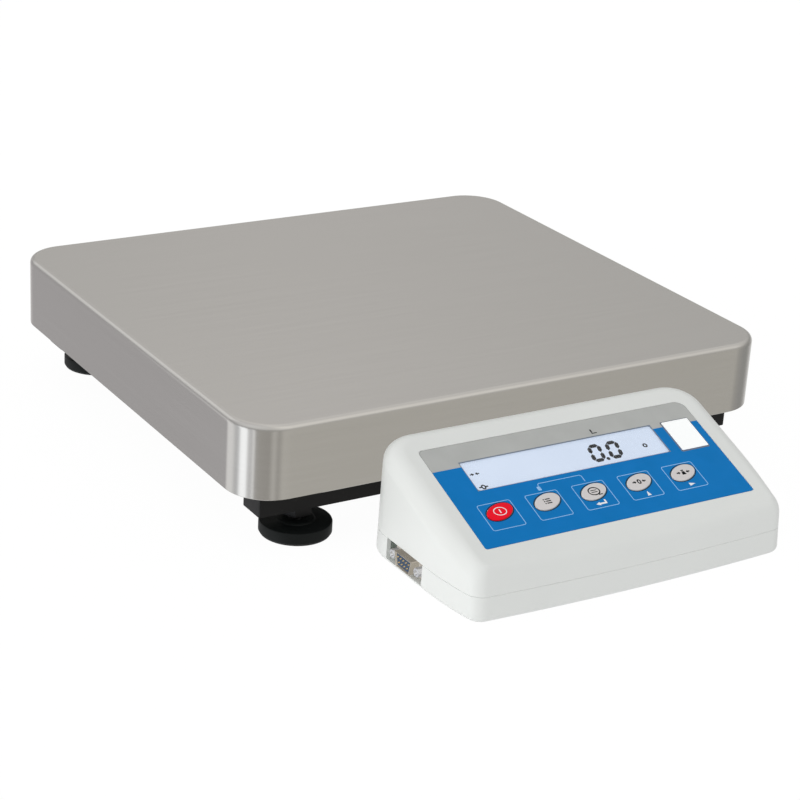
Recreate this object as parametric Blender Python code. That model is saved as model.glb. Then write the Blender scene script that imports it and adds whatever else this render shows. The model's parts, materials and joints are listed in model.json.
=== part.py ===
"""Bench scale: a stainless load plate on a single load cell and a levelled H frame, with a
wedge-shaped display terminal held in front of it by a bracket.

Metres, +Z up, +X to the right along the front edge, +Y to the back. The origin is on the
bench, under the middle of the whole object. The scale stands at rest, unloaded.
"""

import math

import bmesh
import bpy
from mathutils import Matrix, Vector

GAP = 0.0003  # clearance kept between touching solids

# Load plate
PAN_WIDTH = 0.360
PAN_DEPTH = 0.325
PAN_TOP = 0.0779
PAN_SKIRT = 0.044
PAN_SHEET = 0.0012
PAN_CORNER = 0.0267
PAN_EDGE = 0.0035

# Terminal: outline at its base, wall leans, rim and panel plane
TERMINAL_REACH = 0.2825  # from the platform's centre to the terminal's front
TERMINAL_WIDTH = 0.217
TERMINAL_DEPTH = 0.113
TERMINAL_X = -0.002
TERMINAL_CORNERS = (0.009, 0.0225)  # front and back, seen from above
SIDE_CURVE = 0.0038  # how far the side walls curve in over their front halves
SIDE_TURN = 0.19  # the direction they have turned by there, in radians
FRONT_CURVE = 0.0029  # how far the front wall curves back towards its ends
FRONT_TURN = 0.06
TERMINAL_RIM = 0.011
PANEL_CORNERS = (0.004, 0.0115)  # front and back corners of the flat panel within the rim
TERMINAL_WALL = 0.0025
TERMINAL_BOTTOM = 0.0015
TERMINAL_BASE_EDGE = 0.004
TERMINAL_PARTING = 0.0168
FRONT_LEAN = 0.078
SIDE_LEAN = 0.012
PANEL_TILT = math.radians(20.3)
PANEL_HEIGHT = 0.0506  # of the panel's centre, above the bench
PANEL_BACK = 0.0534  # the panel's centre behind the terminal's front

# Printed panel, in panel coordinates: u to the right, v up the slope, w out of the panel
OVERLAY_SIZE = (0.1807, 0.0767)
OVERLAY_SHEET = 0.0005
OVERLAY_CORNERS = (0.0015, 0.0015, 0.006, 0.003)
RECESS = OVERLAY_SHEET + GAP
WINDOW_SIZE = (0.1298, 0.0222)
WINDOW_AT = (-0.0067, 0.0133)
MODULE_MARGIN = 0.002  # of the display behind its window, all round
MODULE_DEPTH = 0.0035
LIGHT_GUIDE_DEPTH = 0.003
KEY_NAMES = ("key_power", "key_function", "key_print", "key_zero", "key_tare")
KEY_PITCH = 0.0309
KEY_ROW = -0.0153
KEY_MIDDLE_U = -0.0064
KEY_SEMI = (0.0091, 0.0053)
KEY_SLANT = math.radians(19)
KEY_RAISED = 0.0005
KEY_PLUNGER = 0.003
KEY_TRAVEL = 0.0004
STICKER_SIZE = (0.0187, 0.0234)
STICKER_AT = (0.0756, 0.0125)
STICKER_SHEET = 0.00015

# Lower frame
RAIL_HALF_LENGTH = 0.1640
RAIL_DEPTH = 0.0205
RAIL_HEIGHT = 0.040
RAIL_WALL = 0.002
RAIL_BOTTOM = 0.0178
RAIL_Y = 0.1375  # from the platform's centre to a rail's middle
BEAM_WIDTH = 0.060
BEAM_HEIGHT = 0.020
BEAM_WALL = 0.003
PAD_HEIGHT = 0.002

# Levelling feet, M10 with 1.5 mm pitch
FOOT_X = 0.1352
FOOT_DISC_RADIUS = 0.0210
FOOT_DISC_HEIGHT = 0.0082
FOOT_HUB_RADIUS = 0.011
FOOT_HUB_TOP = 0.0095
STUD_RADIUS = 0.005
STUD_TOP = 0.050
LOCK_NUT_FLATS = 0.017
LOCK_NUT_HEIGHT = 0.0049

# Load cell and upper frame
CELL_SIZE = (0.030, 0.130, 0.022)
CELL_EYE_OFFSET = 0.0125
CELL_EYE_RADIUS = 0.0085
CELL_BOLT_INSET = 0.010
CELL_BOLT_SPACING = 0.015
M8_RADIUS = 0.004
M8_HEAD_RADIUS = 0.0065
M8_HEAD_HEIGHT = 0.005
UPPER_BAR = (0.280, 0.020, 0.008)
BUFFER_X = 0.125
BUFFER_RADIUS = 0.010
STOP_X = 0.098
STOP_GAP = 0.0008

# Connectors
SERIAL_FROM_FRONT = 0.0657  # centre of the serial connector behind the terminal's front
SERIAL_HEIGHT = 0.0112
SERIAL_FLANGE = (0.0308, 0.0125)
SERIAL_SHELL = (0.0169, 0.0084)
JACK_SPACING = 0.025
SERIAL_NOTCH = (-0.016, 0.0205)  # front and back ends, from the connector's centre
NOTCH_BOTTOM = 0.0045
INLET_FROM_MIDDLE = 0.070
INLET_SIZE = (0.009, 0.0139, 0.0088)
BOARD_SHEET = 0.0016
GLAND_THREAD_RADIUS = 0.006
FRAME_GLAND = (0.085, 0.0262)  # x and height on the front rail
TERMINAL_GLAND = (0.058, 0.0258)  # x and height on the terminal's back

# Bracket between the front rail and the terminal
BRACKET_WIDTH = 0.070
BRACKET_SHEET = 0.002
BRACKET_SCREW_SPACING = 0.044
BRACKET_BOTTOM = 0.0035
SHELL_SCREW_HEIGHT = 0.0095
RAIL_SCREW_RADIUS = 0.0025
SHELL_SCREW_RADIUS = 0.002

# Worked out from the sizes above
PLATFORM_Y = (TERMINAL_REACH - PAN_DEPTH / 2) / 2
TERMINAL_FRONT = PLATFORM_Y - TERMINAL_REACH
TERMINAL_BACK = TERMINAL_FRONT + TERMINAL_DEPTH
LEAN_DATUM = TERMINAL_BOTTOM + TERMINAL_BASE_EDGE
PANEL_Y = TERMINAL_FRONT + PANEL_BACK
PANEL_CENTRE = Vector((TERMINAL_X, PANEL_Y, PANEL_HEIGHT))
PANEL = Matrix.Translation(PANEL_CENTRE) @ Matrix.Rotation(PANEL_TILT, 4, "X")
PANEL_NORMAL = Vector((0, -math.sin(PANEL_TILT), math.cos(PANEL_TILT)))
WALL_DIRECTIONS = ((0, -1), (1, 0), (0, 1), (-1, 0))
RAIL_TOP = RAIL_BOTTOM + RAIL_HEIGHT
FRONT_RAIL_Y = PLATFORM_Y - RAIL_Y
BEAM_TOP = RAIL_BOTTOM + BEAM_HEIGHT
CELL_BOTTOM = BEAM_TOP + PAD_HEIGHT + GAP
CELL_TOP = CELL_BOTTOM + CELL_SIZE[2]
BOSS_BOTTOM = CELL_TOP + GAP
UPPER_BOTTOM = BOSS_BOTTOM + PAD_HEIGHT
UPPER_TOP = UPPER_BOTTOM + UPPER_BAR[2]
PAN_UNDERSIDE = PAN_TOP - PAN_SHEET
KEY_HOLE_SEMI = (KEY_SEMI[0] + GAP, KEY_SEMI[1] + GAP)
KEY_US = [KEY_MIDDLE_U + (number - 2) * KEY_PITCH for number in range(len(KEY_NAMES))]
SERIAL_Y = TERMINAL_FRONT + SERIAL_FROM_FRONT
SIDE_X = TERMINAL_X - TERMINAL_WIDTH / 2
INLET_X = TERMINAL_X - INLET_FROM_MIDDLE
MODULE_SIZE = (WINDOW_SIZE[0] + 2 * MODULE_MARGIN, WINDOW_SIZE[1] + 2 * MODULE_MARGIN)
KEY_BOARD_TOP = -TERMINAL_WALL - GAP
MAIN_BOARD_BOTTOM = TERMINAL_BOTTOM + TERMINAL_WALL + 0.0006
MAIN_BOARD_TOP = MAIN_BOARD_BOTTOM + BOARD_SHEET


def clear_scene():
    for obj in list(bpy.data.objects):
        bpy.data.objects.remove(obj, do_unlink=True)


def make_material(name, colour, roughness, metallic=0.0):
    material = bpy.data.materials.new(name)
    material.use_nodes = True
    shader = material.node_tree.nodes["Principled BSDF"]
    shader.inputs["Base Color"].default_value = (*colour, 1.0)
    shader.inputs["Roughness"].default_value = roughness
    shader.inputs["Metallic"].default_value = metallic
    return material


# Outlines: lists of (x, y), anticlockwise


def ellipse(semi_x, semi_y, steps, slant=0.0, middle=(0.0, 0.0)):
    points = []
    for step in range(steps):
        angle = 2 * math.pi * step / steps
        x, y = semi_x * math.cos(angle), semi_y * math.sin(angle)
        points.append((
            middle[0] + x * math.cos(slant) - y * math.sin(slant),
            middle[1] + x * math.sin(slant) + y * math.cos(slant),
        ))
    return points


def circle(radius, steps, middle=(0.0, 0.0)):
    return ellipse(radius, radius, steps, 0.0, middle)


def rectangle(width, depth, middle=(0.0, 0.0)):
    x, y = middle
    return [
        (x - width / 2, y - depth / 2),
        (x + width / 2, y - depth / 2),
        (x + width / 2, y + depth / 2),
        (x - width / 2, y + depth / 2),
    ]


def rounded_rectangle(width, depth, radii, steps, middle=(0.0, 0.0)):
    """radii: front-left, front-right, back-right, back-left."""
    points = []
    for corner, radius in enumerate(radii):
        start = math.pi * (1 + corner / 2)
        side_x = -1 if corner in (0, 3) else 1
        side_y = -1 if corner in (0, 1) else 1
        for step in range(steps + 1):
            angle = start + math.pi / 2 * step / steps
            points.append((
                middle[0] + side_x * (width / 2 - radius) + radius * math.cos(angle),
                middle[1] + side_y * (depth / 2 - radius) + radius * math.sin(angle),
            ))
    return points


def hexagon(flats):
    return circle(flats / math.sqrt(3), 6)


# Mesh building


def add_loft(bm, rings):
    """One closed body through rings of equal length, with a flat cap on the first and last."""
    rows = [[bm.verts.new(point) for point in ring] for ring in rings]
    for lower, upper in zip(rows, rows[1:]):
        for i, vertex in enumerate(lower):
            j = (i + 1) % len(lower)
            bm.faces.new((vertex, lower[j], upper[j], upper[i]))
    bm.faces.new(list(reversed(rows[0])))
    bm.faces.new(rows[-1])


def add_prism(bm, outline, low, high, place=Matrix.Identity(4)):
    add_loft(bm, [[place @ Vector((x, y, z)) for x, y in outline] for z in (low, high)])


def add_turned(bm, profile, steps, place=Matrix.Identity(4)):
    """A body turned about Z through (radius, height) points, closed by flat ends."""
    add_loft(bm, [[place @ Vector((x, y, z)) for x, y in circle(r, steps)] for r, z in profile])


def add_sleeve(bm, outer, bore_radius, steps, place=Matrix.Identity(4)):
    """A body turned about Z with a bore right through it. outer runs from low to high."""
    low, high = outer[0][1], outer[-1][1]
    profile = [(bore_radius, low), *outer, (bore_radius, high)]
    rows = [
        [bm.verts.new(place @ Vector((x, y, z))) for x, y in circle(r, steps)] for r, z in profile
    ]
    for lower, upper in zip(rows, [*rows[1:], rows[0]]):
        for i, vertex in enumerate(lower):
            j = (i + 1) % steps
            bm.faces.new((vertex, lower[j], upper[j], upper[i]))


def make_object(name, bm, material=None, place=Matrix.Identity(4), smooth=False):
    bmesh.ops.recalc_face_normals(bm, faces=bm.faces)
    mesh = bpy.data.meshes.new(name)
    bm.to_mesh(mesh)
    bm.free()
    if material:
        mesh.materials.append(material)
    if smooth:
        mesh.shade_smooth()
        mesh.set_sharp_from_angle(angle=math.radians(35))
    obj = bpy.data.objects.new(name, mesh)
    bpy.context.scene.collection.objects.link(obj)
    obj.matrix_world = place
    return obj


def make_prism(name, outline, low, high, material=None, place=Matrix.Identity(4)):
    bm = bmesh.new()
    add_prism(bm, outline, low, high)
    return make_object(name, bm, material, place)


def make_box(name, low, high, material=None):
    middle = ((low[0] + high[0]) / 2, (low[1] + high[1]) / 2)
    outline = rectangle(high[0] - low[0], high[1] - low[1])
    place = Matrix.Translation((middle[0], middle[1], 0))
    return make_prism(name, outline, low[2], high[2], material, place)


def make_turned(name, profile, steps, material, place=Matrix.Identity(4)):
    bm = bmesh.new()
    add_turned(bm, profile, steps)
    return make_object(name, bm, material, place, smooth=True)


def combine(obj, helper, operation):
    helper.hide_render = True
    helper.display_type = "WIRE"
    modifier = obj.modifiers.new(helper.name, "BOOLEAN")
    modifier.operation = operation
    modifier.solver = "EXACT"
    modifier.object = helper


def drill(obj, name, radius, low, high, places, steps=16):
    """Round holes from low to high along local Z of each place."""
    bm = bmesh.new()
    for place in places:
        add_turned(bm, [(radius, low), (radius, high)], steps, place)
    combine(obj, make_object(name, bm), "DIFFERENCE")


def at(x, y, z=0.0):
    return Matrix.Translation((x, y, z))


def facing_y(x, y, z):
    """A place whose local Z points to -Y."""
    return at(x, y, z) @ Matrix.Rotation(math.pi / 2, 4, "X")


def joint_empty(name, place):
    """Marks a joint axis: a moving piece hangs from it."""
    empty = bpy.data.objects.new(name, None)
    empty.empty_display_size = 0.01
    empty.matrix_world = place
    bpy.context.scene.collection.objects.link(empty)
    return empty


def hang_from(empty, *pieces):
    bpy.context.view_layer.update()
    for piece in pieces:
        world = piece.matrix_world.copy()
        piece.parent = empty
        piece.matrix_parent_inverse = empty.matrix_world.inverted()
        piece.matrix_world = world


# Platform


def pan_ring(inset, height):
    width, depth = PAN_WIDTH - 2 * inset, PAN_DEPTH - 2 * inset
    outline = rounded_rectangle(width, depth, [PAN_CORNER - inset] * 4, 8)
    return [(x, y, height) for x, y in outline]


def bent_edge(sheet_inset, turns):
    """Rings over the pan's top edge, from the skirt up to the flat top."""
    radius = PAN_EDGE - sheet_inset
    rings = []
    for turn in range(turns + 1):
        angle = math.pi / 2 * turn / turns
        inset = PAN_EDGE - radius * math.cos(angle)
        rings.append(pan_ring(inset, PAN_TOP - PAN_EDGE + radius * math.sin(angle)))
    return rings


def make_load_plate(steel):
    bottom = PAN_TOP - PAN_SKIRT
    inner = [pan_ring(PAN_SHEET, bottom), *bent_edge(PAN_SHEET, 3)]
    outer = [pan_ring(0.0, bottom), *bent_edge(0.0, 4)]
    bm = bmesh.new()
    add_loft(bm, [*reversed(inner), *outer])
    plate = make_object("load_plate", bm, steel, at(0, PLATFORM_Y), smooth=True)
    hang_from(joint_empty("load_plate_lift", at(0, PLATFORM_Y, PAN_UNDERSIDE)), plate)


def make_rail(name, side, paint):
    """A square-ended box section with welded end plates. side is -1 in front, 1 at the back."""
    middle = PLATFORM_Y + side * RAIL_Y
    outline = rounded_rectangle(2 * RAIL_HALF_LENGTH, RAIL_DEPTH, [0.0015] * 4, 2)
    rail = make_prism(name, outline, RAIL_BOTTOM, RAIL_TOP, paint, at(0, middle))
    hollow_x = RAIL_HALF_LENGTH - RAIL_WALL
    hollow_y = RAIL_DEPTH / 2 - RAIL_WALL
    hollow = make_box(
        name + "_hollow",
        (-hollow_x, middle - hollow_y, RAIL_BOTTOM + RAIL_WALL),
        (hollow_x, middle + hollow_y, RAIL_TOP - RAIL_WALL),
    )
    combine(rail, hollow, "DIFFERENCE")
    inside = (RAIL_BOTTOM + RAIL_TOP) / 2
    studs = [at(x, middle) for x in (-FOOT_X, FOOT_X)]
    drill(rail, name + "_stud_holes", STUD_RADIUS + GAP, RAIL_BOTTOM - 0.005, inside, studs)
    stops = [at(x, middle) for x in (-STOP_X, STOP_X)]
    drill(rail, name + "_stop_holes", 0.003 + GAP, inside, RAIL_TOP + 0.005, stops)
    return rail


def make_rails(paint):
    front = make_rail("front_rail", -1, paint)
    make_rail("rear_rail", 1, paint)
    screws = [at(x, FRONT_RAIL_Y) for x in bracket_screw_xs()]
    through = (RAIL_BOTTOM - 0.005, RAIL_BOTTOM + 0.010)
    drill(front, "bracket_holes", RAIL_SCREW_RADIUS + GAP, *through, screws)
    gland = [facing_y(FRAME_GLAND[0], FRONT_RAIL_Y, FRAME_GLAND[1])]
    drill(front, "gland_hole", GLAND_THREAD_RADIUS + GAP, 0.0, RAIL_DEPTH, gland, 20)


def cell_bolt_ys(side):
    """The two bolts at one end of the load cell. side is 1 at the fixed end, -1 at the free end."""
    end = CELL_SIZE[1] / 2 - CELL_BOLT_INSET
    return [PLATFORM_Y + side * end, PLATFORM_Y + side * (end - CELL_BOLT_SPACING)]


def make_centre_beam(paint):
    """A channel, open downwards, with a pad for the load cell's fixed end."""
    half = RAIL_Y - RAIL_DEPTH / 2 - GAP
    x = BEAM_WIDTH / 2
    inner = x - BEAM_WALL
    low, web = RAIL_BOTTOM, BEAM_TOP - BEAM_WALL
    section = [
        (-x, low), (-inner, low), (-inner, web), (inner, web),
        (inner, low), (x, low), (x, BEAM_TOP), (-x, BEAM_TOP),
    ]
    beam = make_prism("centre_beam", section, -half, half, paint, facing_y(0, PLATFORM_Y, 0))
    pad_half = CELL_BOLT_INSET + CELL_BOLT_SPACING / 2
    pad_y = PLATFORM_Y + CELL_SIZE[1] / 2 - pad_half
    pad = make_box(
        "beam_pad",
        (-CELL_SIZE[0] / 2, pad_y - pad_half, BEAM_TOP - 0.001),
        (CELL_SIZE[0] / 2, pad_y + pad_half, BEAM_TOP + PAD_HEIGHT),
    )
    combine(beam, pad, "UNION")
    bolts = [at(0, y) for y in cell_bolt_ys(1)]
    drill(beam, "beam_bolt_holes", M8_RADIUS + GAP, RAIL_BOTTOM, CELL_BOTTOM + 0.01, bolts)


def make_load_cell(aluminium):
    """A single-point cell: a bar with a milled window that lets one end sink parallel."""
    width, length, _ = CELL_SIZE
    cell = make_box(
        "load_cell",
        (-width / 2, PLATFORM_Y - length / 2, CELL_BOTTOM),
        (width / 2, PLATFORM_Y + length / 2, CELL_TOP),
        aluminium,
    )
    middle = (CELL_BOTTOM + CELL_TOP) / 2
    through = at(0, PLATFORM_Y, middle) @ Matrix.Rotation(math.pi / 2, 4, "Y")
    bm = bmesh.new()
    for y in (-CELL_EYE_OFFSET, CELL_EYE_OFFSET):
        add_turned(bm, [(CELL_EYE_RADIUS, -width), (CELL_EYE_RADIUS, width)], 24, through @ at(0, y))
    combine(cell, make_object("cell_eyes", bm), "DIFFERENCE")
    slot = make_box(
        "cell_slot",
        (-width, PLATFORM_Y - CELL_EYE_OFFSET, middle - 0.0035),
        (width, PLATFORM_Y + CELL_EYE_OFFSET, middle + 0.0035),
    )
    combine(cell, slot, "DIFFERENCE")
    bolts = [at(0, y) for side in (-1, 1) for y in cell_bolt_ys(side)]
    drill(cell, "cell_bolt_holes", M8_RADIUS + GAP, CELL_BOTTOM - 0.01, CELL_TOP + 0.01, bolts)


def make_cap_bolt(name, y, head_bottom, tip, direction, steel):
    """A low-head M8 cap screw. direction is -1 where the tip points down, 1 where it points up."""
    profile = [
        (M8_HEAD_RADIUS - 0.0006, -M8_HEAD_HEIGHT), (M8_HEAD_RADIUS, -M8_HEAD_HEIGHT + 0.0006),
        (M8_HEAD_RADIUS, 0), (M8_RADIUS, 0), (M8_RADIUS, abs(tip - head_bottom)),
    ]
    turn = Matrix.Identity(4) if direction > 0 else Matrix.Rotation(math.pi, 4, "X")
    bolt = make_turned(name, profile, 20, steel, at(0, y, head_bottom) @ turn)
    socket = bmesh.new()
    add_prism(socket, hexagon(0.005), -M8_HEAD_HEIGHT - 0.001, -0.002)
    combine(bolt, make_object(name + "_socket", socket, None, bolt.matrix_world), "DIFFERENCE")


def make_cell_bolts(steel):
    for number, y in enumerate(cell_bolt_ys(1), start=1):
        head = BEAM_TOP - BEAM_WALL - GAP
        make_cap_bolt(f"cell_bolt_lower_{number}", y, head, CELL_TOP - 0.004, 1, steel)
    for number, y in enumerate(cell_bolt_ys(-1), start=1):
        head = UPPER_TOP - M8_HEAD_HEIGHT - GAP
        make_cap_bolt(f"cell_bolt_upper_{number}", y, head, CELL_BOTTOM + 0.004, -1, steel)


def make_upper_frame(aluminium):
    """The H-shaped carrier on the load cell's free end, with a boss that clears the cell."""
    bar_length, bar_width, _ = UPPER_BAR
    x, y = bar_length / 2, RAIL_Y + bar_width / 2
    web, bar = 0.035, RAIL_Y - bar_width / 2
    outline = [
        (-x, -y), (x, -y), (x, -bar), (web, -bar), (web, bar), (x, bar),
        (x, y), (-x, y), (-x, bar), (-web, bar), (-web, -bar), (-x, -bar),
    ]
    place = at(0, PLATFORM_Y)
    frame = make_prism("plate_carrier", outline, UPPER_BOTTOM, UPPER_TOP, aluminium, place)
    boss_half = CELL_BOLT_INSET + CELL_BOLT_SPACING / 2
    boss_y = PLATFORM_Y - CELL_SIZE[1] / 2 + boss_half
    boss = make_box(
        "carrier_boss",
        (-CELL_SIZE[0] / 2, boss_y - boss_half, BOSS_BOTTOM),
        (CELL_SIZE[0] / 2, boss_y + boss_half, UPPER_BOTTOM + 0.001),
    )
    combine(frame, boss, "UNION")
    bolts = [at(0, y) for y in cell_bolt_ys(-1)]
    above, below = UPPER_TOP + 0.01, BOSS_BOTTOM - 0.01
    drill(frame, "carrier_bolt_holes", M8_RADIUS + GAP, below, above, bolts)
    seat = UPPER_TOP - M8_HEAD_HEIGHT - 2 * GAP
    drill(frame, "carrier_counterbores", M8_HEAD_RADIUS + GAP, seat, above, bolts, 20)
    holes = [at(0, PLATFORM_Y + y) for y in (-0.098, 0.005, 0.052, 0.098)]
    drill(frame, "carrier_windows", 0.019, below, above, holes, 28)


def corners(x, y):
    """(suffix, x, y) of the four corners about the platform's centre."""
    signs = {
        "front_left": (-1, -1), "front_right": (1, -1), "back_left": (-1, 1), "back_right": (1, 1)
    }
    return [(name, sx * x, PLATFORM_Y + sy * y) for name, (sx, sy) in signs.items()]


def make_buffers(rubber):
    low = UPPER_TOP + GAP
    height = PAN_UNDERSIDE - GAP - low
    r = BUFFER_RADIUS
    profile = [(r - 0.0006, 0), (r, 0.0006), (r, height - 0.001), (r - 0.001, height)]
    for name, x, y in corners(BUFFER_X, RAIL_Y):
        make_turned("plate_buffer_" + name, profile, 24, rubber, at(x, y, low))


def make_overload_stops(steel):
    """Set screws with hex heads that catch the carrier before the load cell is overstrained."""
    head_low = RAIL_TOP + GAP
    head_high = UPPER_BOTTOM - STOP_GAP
    for name, x, y in corners(STOP_X, RAIL_Y):
        bm = bmesh.new()
        add_prism(bm, hexagon(0.010), head_low, head_high - 0.0008)
        screw = make_object("overload_stop_" + name, bm, steel, at(x, y))
        shank = bmesh.new()
        tip = [(0.003, RAIL_TOP - 0.012), (0.003, head_high - 0.001), (0.0025, head_high)]
        add_turned(shank, tip, 16)
        combine(screw, make_object(name + "_stop_shank", shank, None, at(x, y)), "UNION")


def make_feet(plastic, steel):
    r, h = FOOT_DISC_RADIUS, FOOT_DISC_HEIGHT
    disc_profile = [
        (r - 0.0005, 0), (r, 0.0005), (r, h - 0.001), (r - 0.001, h),
        (FOOT_HUB_RADIUS, h), (FOOT_HUB_RADIUS - 0.001, FOOT_HUB_TOP),
    ]
    stud_low = 0.004
    length = STUD_TOP - stud_low
    stud_profile = [
        (STUD_RADIUS - 0.0005, 0), (STUD_RADIUS, 0.0005),
        (STUD_RADIUS, length - 0.0005), (STUD_RADIUS - 0.0005, length),
    ]
    nut_high = RAIL_BOTTOM - GAP
    for name, x, y in corners(FOOT_X, RAIL_Y):
        disc = make_turned("foot_disc_" + name, disc_profile, 40, plastic, at(x, y))
        drill(disc, "socket_" + name, STUD_RADIUS + GAP, stud_low - GAP, 0.02, [at(x, y)])
        stud = make_turned("foot_stud_" + name, stud_profile, 16, steel, at(x, y, stud_low))
        bm = bmesh.new()
        add_prism(bm, hexagon(LOCK_NUT_FLATS), nut_high - LOCK_NUT_HEIGHT, nut_high)
        nut = make_object("lock_nut_" + name, bm, steel, at(x, y))
        drill(nut, "nut_bore_" + name, STUD_RADIUS + GAP, 0, RAIL_TOP, [at(x, y)])
        hang_from(joint_empty("foot_axis_" + name, at(x, y)), disc, stud)


def make_spirit_level(glass):
    base = BEAM_TOP + GAP
    profile = [(0.010, 0), (0.010, 0.0015), (0.008, 0.0015), (0.008, 0.0075), (0.0072, 0.0085)]
    make_turned("spirit_level", profile, 28, glass, at(0, PLATFORM_Y + 0.095, base))


def make_gland(name, place, direction, material):
    """A cable gland through a wall. Its nut faces -Y when direction is -1, +Y when it is 1."""
    bm = bmesh.new()
    r = GLAND_THREAD_RADIUS
    outer = [
        (r, -0.008), (r, GAP), (0.0078, GAP), (0.0078, 0.0045),
        (0.0068, 0.0045), (0.0068, 0.0085), (0.0052, 0.0115),
    ]
    add_sleeve(bm, outer, 0.0028, 24)
    turn = Matrix.Rotation(math.pi / 2 * (1 if direction < 0 else -1), 4, "X")
    make_object(name, bm, material, at(*place) @ turn, smooth=True)


# Terminal


def wall_lean(normal):
    """How far a wall leans inwards for each metre of height, for its outward direction."""
    x, y = normal
    return SIDE_LEAN * x * x + (FRONT_LEAN if y < 0 else SIDE_LEAN) * y * y


def outline_corners(steps=8):
    """For each corner, from the front left anticlockwise: its sides and its outward directions."""
    turns = (
        (-1, -1, math.pi + SIDE_TURN, 1.5 * math.pi - FRONT_TURN),
        (1, -1, 1.5 * math.pi + FRONT_TURN, 2 * math.pi - SIDE_TURN),
        (1, 1, 0.0, math.pi / 2),
        (-1, 1, math.pi / 2, math.pi),
    )
    found = []
    for side_x, side_y, start, end in turns:
        angles = [start + (end - start) * step / steps for step in range(steps + 1)]
        found.append((side_x, side_y, [(math.cos(angle), math.sin(angle)) for angle in angles]))
    return found


def corner_centre(side_x, side_y, height):
    """Centre of a vertical corner's arc, at a height above the bench."""
    rise = height - LEAN_DATUM
    half = TERMINAL_WIDTH / 2 - SIDE_LEAN * rise
    front, back = TERMINAL_CORNERS
    if side_y > 0:
        return TERMINAL_X + side_x * (half - back), TERMINAL_BACK - back - SIDE_LEAN * rise
    x = TERMINAL_X + side_x * (half - SIDE_CURVE - front * math.cos(SIDE_TURN))
    return x, TERMINAL_FRONT + FRONT_CURVE + front * math.cos(FRONT_TURN) + FRONT_LEAN * rise


def wall_bulges(wall, steps=8):
    """(share of the way along, outward shift) inside a wall: front, right, back or left."""
    found = []
    for step in range(1, steps):
        share = step / steps
        from_front = share if wall == 1 else 1 - share
        side = SIDE_CURVE * (1 - from_front - max(0.0, 1 - 2 * from_front) ** 2)
        bulge = (FRONT_CURVE * 4 * share * (1 - share), side, 0.0, side)[wall]
        found.append((share, bulge))
    return found


def wall_ring(height, inset):
    """The outline at a height: round corners, a bowed front, and sides that curve in forwards."""
    arcs = []
    for side_x, side_y, directions in outline_corners():
        x, y = corner_centre(side_x, side_y, height)
        radius = TERMINAL_CORNERS[side_y > 0] - inset
        arcs.append([Vector((x + radius * nx, y + radius * ny, height)) for nx, ny in directions])
    ring = []
    for wall, outward in enumerate(WALL_DIRECTIONS):
        start, end = arcs[wall][-1], arcs[(wall + 1) % 4][0]
        ring += arcs[wall]
        for share, bulge in wall_bulges(wall):
            ring.append(start.lerp(end, share) + bulge * Vector((*outward, 0)))
    return ring


def ring_normals():
    """The outward direction at each point of a wall ring."""
    normals = []
    for wall, (_, _, directions) in enumerate(outline_corners()):
        normals += directions
        normals += [WALL_DIRECTIONS[wall]] * len(wall_bulges(wall))
    return normals


def rim_half_angle(normal):
    """Half the angle between a wall and the panel, inside the terminal."""
    slope = PANEL_TILT if normal[1] < 0 else -PANEL_TILT
    return (math.pi / 2 + slope * normal[1] ** 2 + math.atan(wall_lean(normal))) / 2


def rim_reach(normal, radius=TERMINAL_RIM):
    """From the sharp edge to where a rim of this radius leaves the wall or the panel."""
    return radius / math.tan(rim_half_angle(normal))


def panel_end(side_y):
    """v on the panel where the rim of the front or back wall reaches it."""
    wall = (TERMINAL_FRONT, TERMINAL_BACK)[side_y > 0]
    lean = (FRONT_LEAN, -SIDE_LEAN)[side_y > 0]
    slope = math.tan(PANEL_TILT)
    y = (wall + lean * (PANEL_HEIGHT - LEAN_DATUM - PANEL_Y * slope)) / (1 - lean * slope)
    return (y - PANEL_Y) / math.cos(PANEL_TILT) - side_y * rim_reach((0, side_y))


def panel_ring():
    """The flat panel's outline, in world coordinates, point for point with a wall ring."""
    half = TERMINAL_WIDTH / 2 - SIDE_LEAN * (PANEL_HEIGHT - LEAN_DATUM) - rim_reach((1, 0))
    arcs = []
    for corner, (side_x, side_y, directions) in enumerate(outline_corners()):
        radius = PANEL_CORNERS[side_y > 0]
        u, v = side_x * (half - radius), panel_end(side_y) - side_y * radius
        steps = len(directions) - 1
        angles = [math.pi * (1 + corner / 2) + math.pi / 2 * step / steps for step in range(steps + 1)]
        arcs.append([Vector((u + radius * math.cos(a), v + radius * math.sin(a), 0)) for a in angles])
    ring = []
    for wall, arc in enumerate(arcs):
        ring += arc
        ring += [arc[-1].lerp(arcs[(wall + 1) % 4][0], share) for share, _ in wall_bulges(wall)]
    return [PANEL @ point for point in ring]


def rim_rings(inset, turns):
    """Rings over the rounded top edge, from the wall to the panel plane."""
    floor, above = wall_ring(0.0, inset), wall_ring(1.0, inset)
    slope = math.tan(PANEL_TILT)
    plane = PANEL_HEIGHT - PANEL_Y * slope - inset / math.cos(PANEL_TILT)
    rings = [[] for _ in range(turns + 1)]
    for low, high, normal, target in zip(floor, above, ring_normals(), panel_ring()):
        height = (plane + low.y * slope) / (1 - (high.y - low.y) * slope)
        edge = low.lerp(high, height)
        start = edge - (high - low).normalized() * rim_reach(normal, TERMINAL_RIM - inset)
        end = target - inset * PANEL_NORMAL
        weight = math.sin(rim_half_angle(normal))
        for turn, ring in enumerate(rings):
            share = turn / turns
            parts = ((1 - share) ** 2, 2 * weight * share * (1 - share), share ** 2)
            ring.append((parts[0] * start + parts[1] * edge + parts[2] * end) / sum(parts))
    return rings


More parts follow.
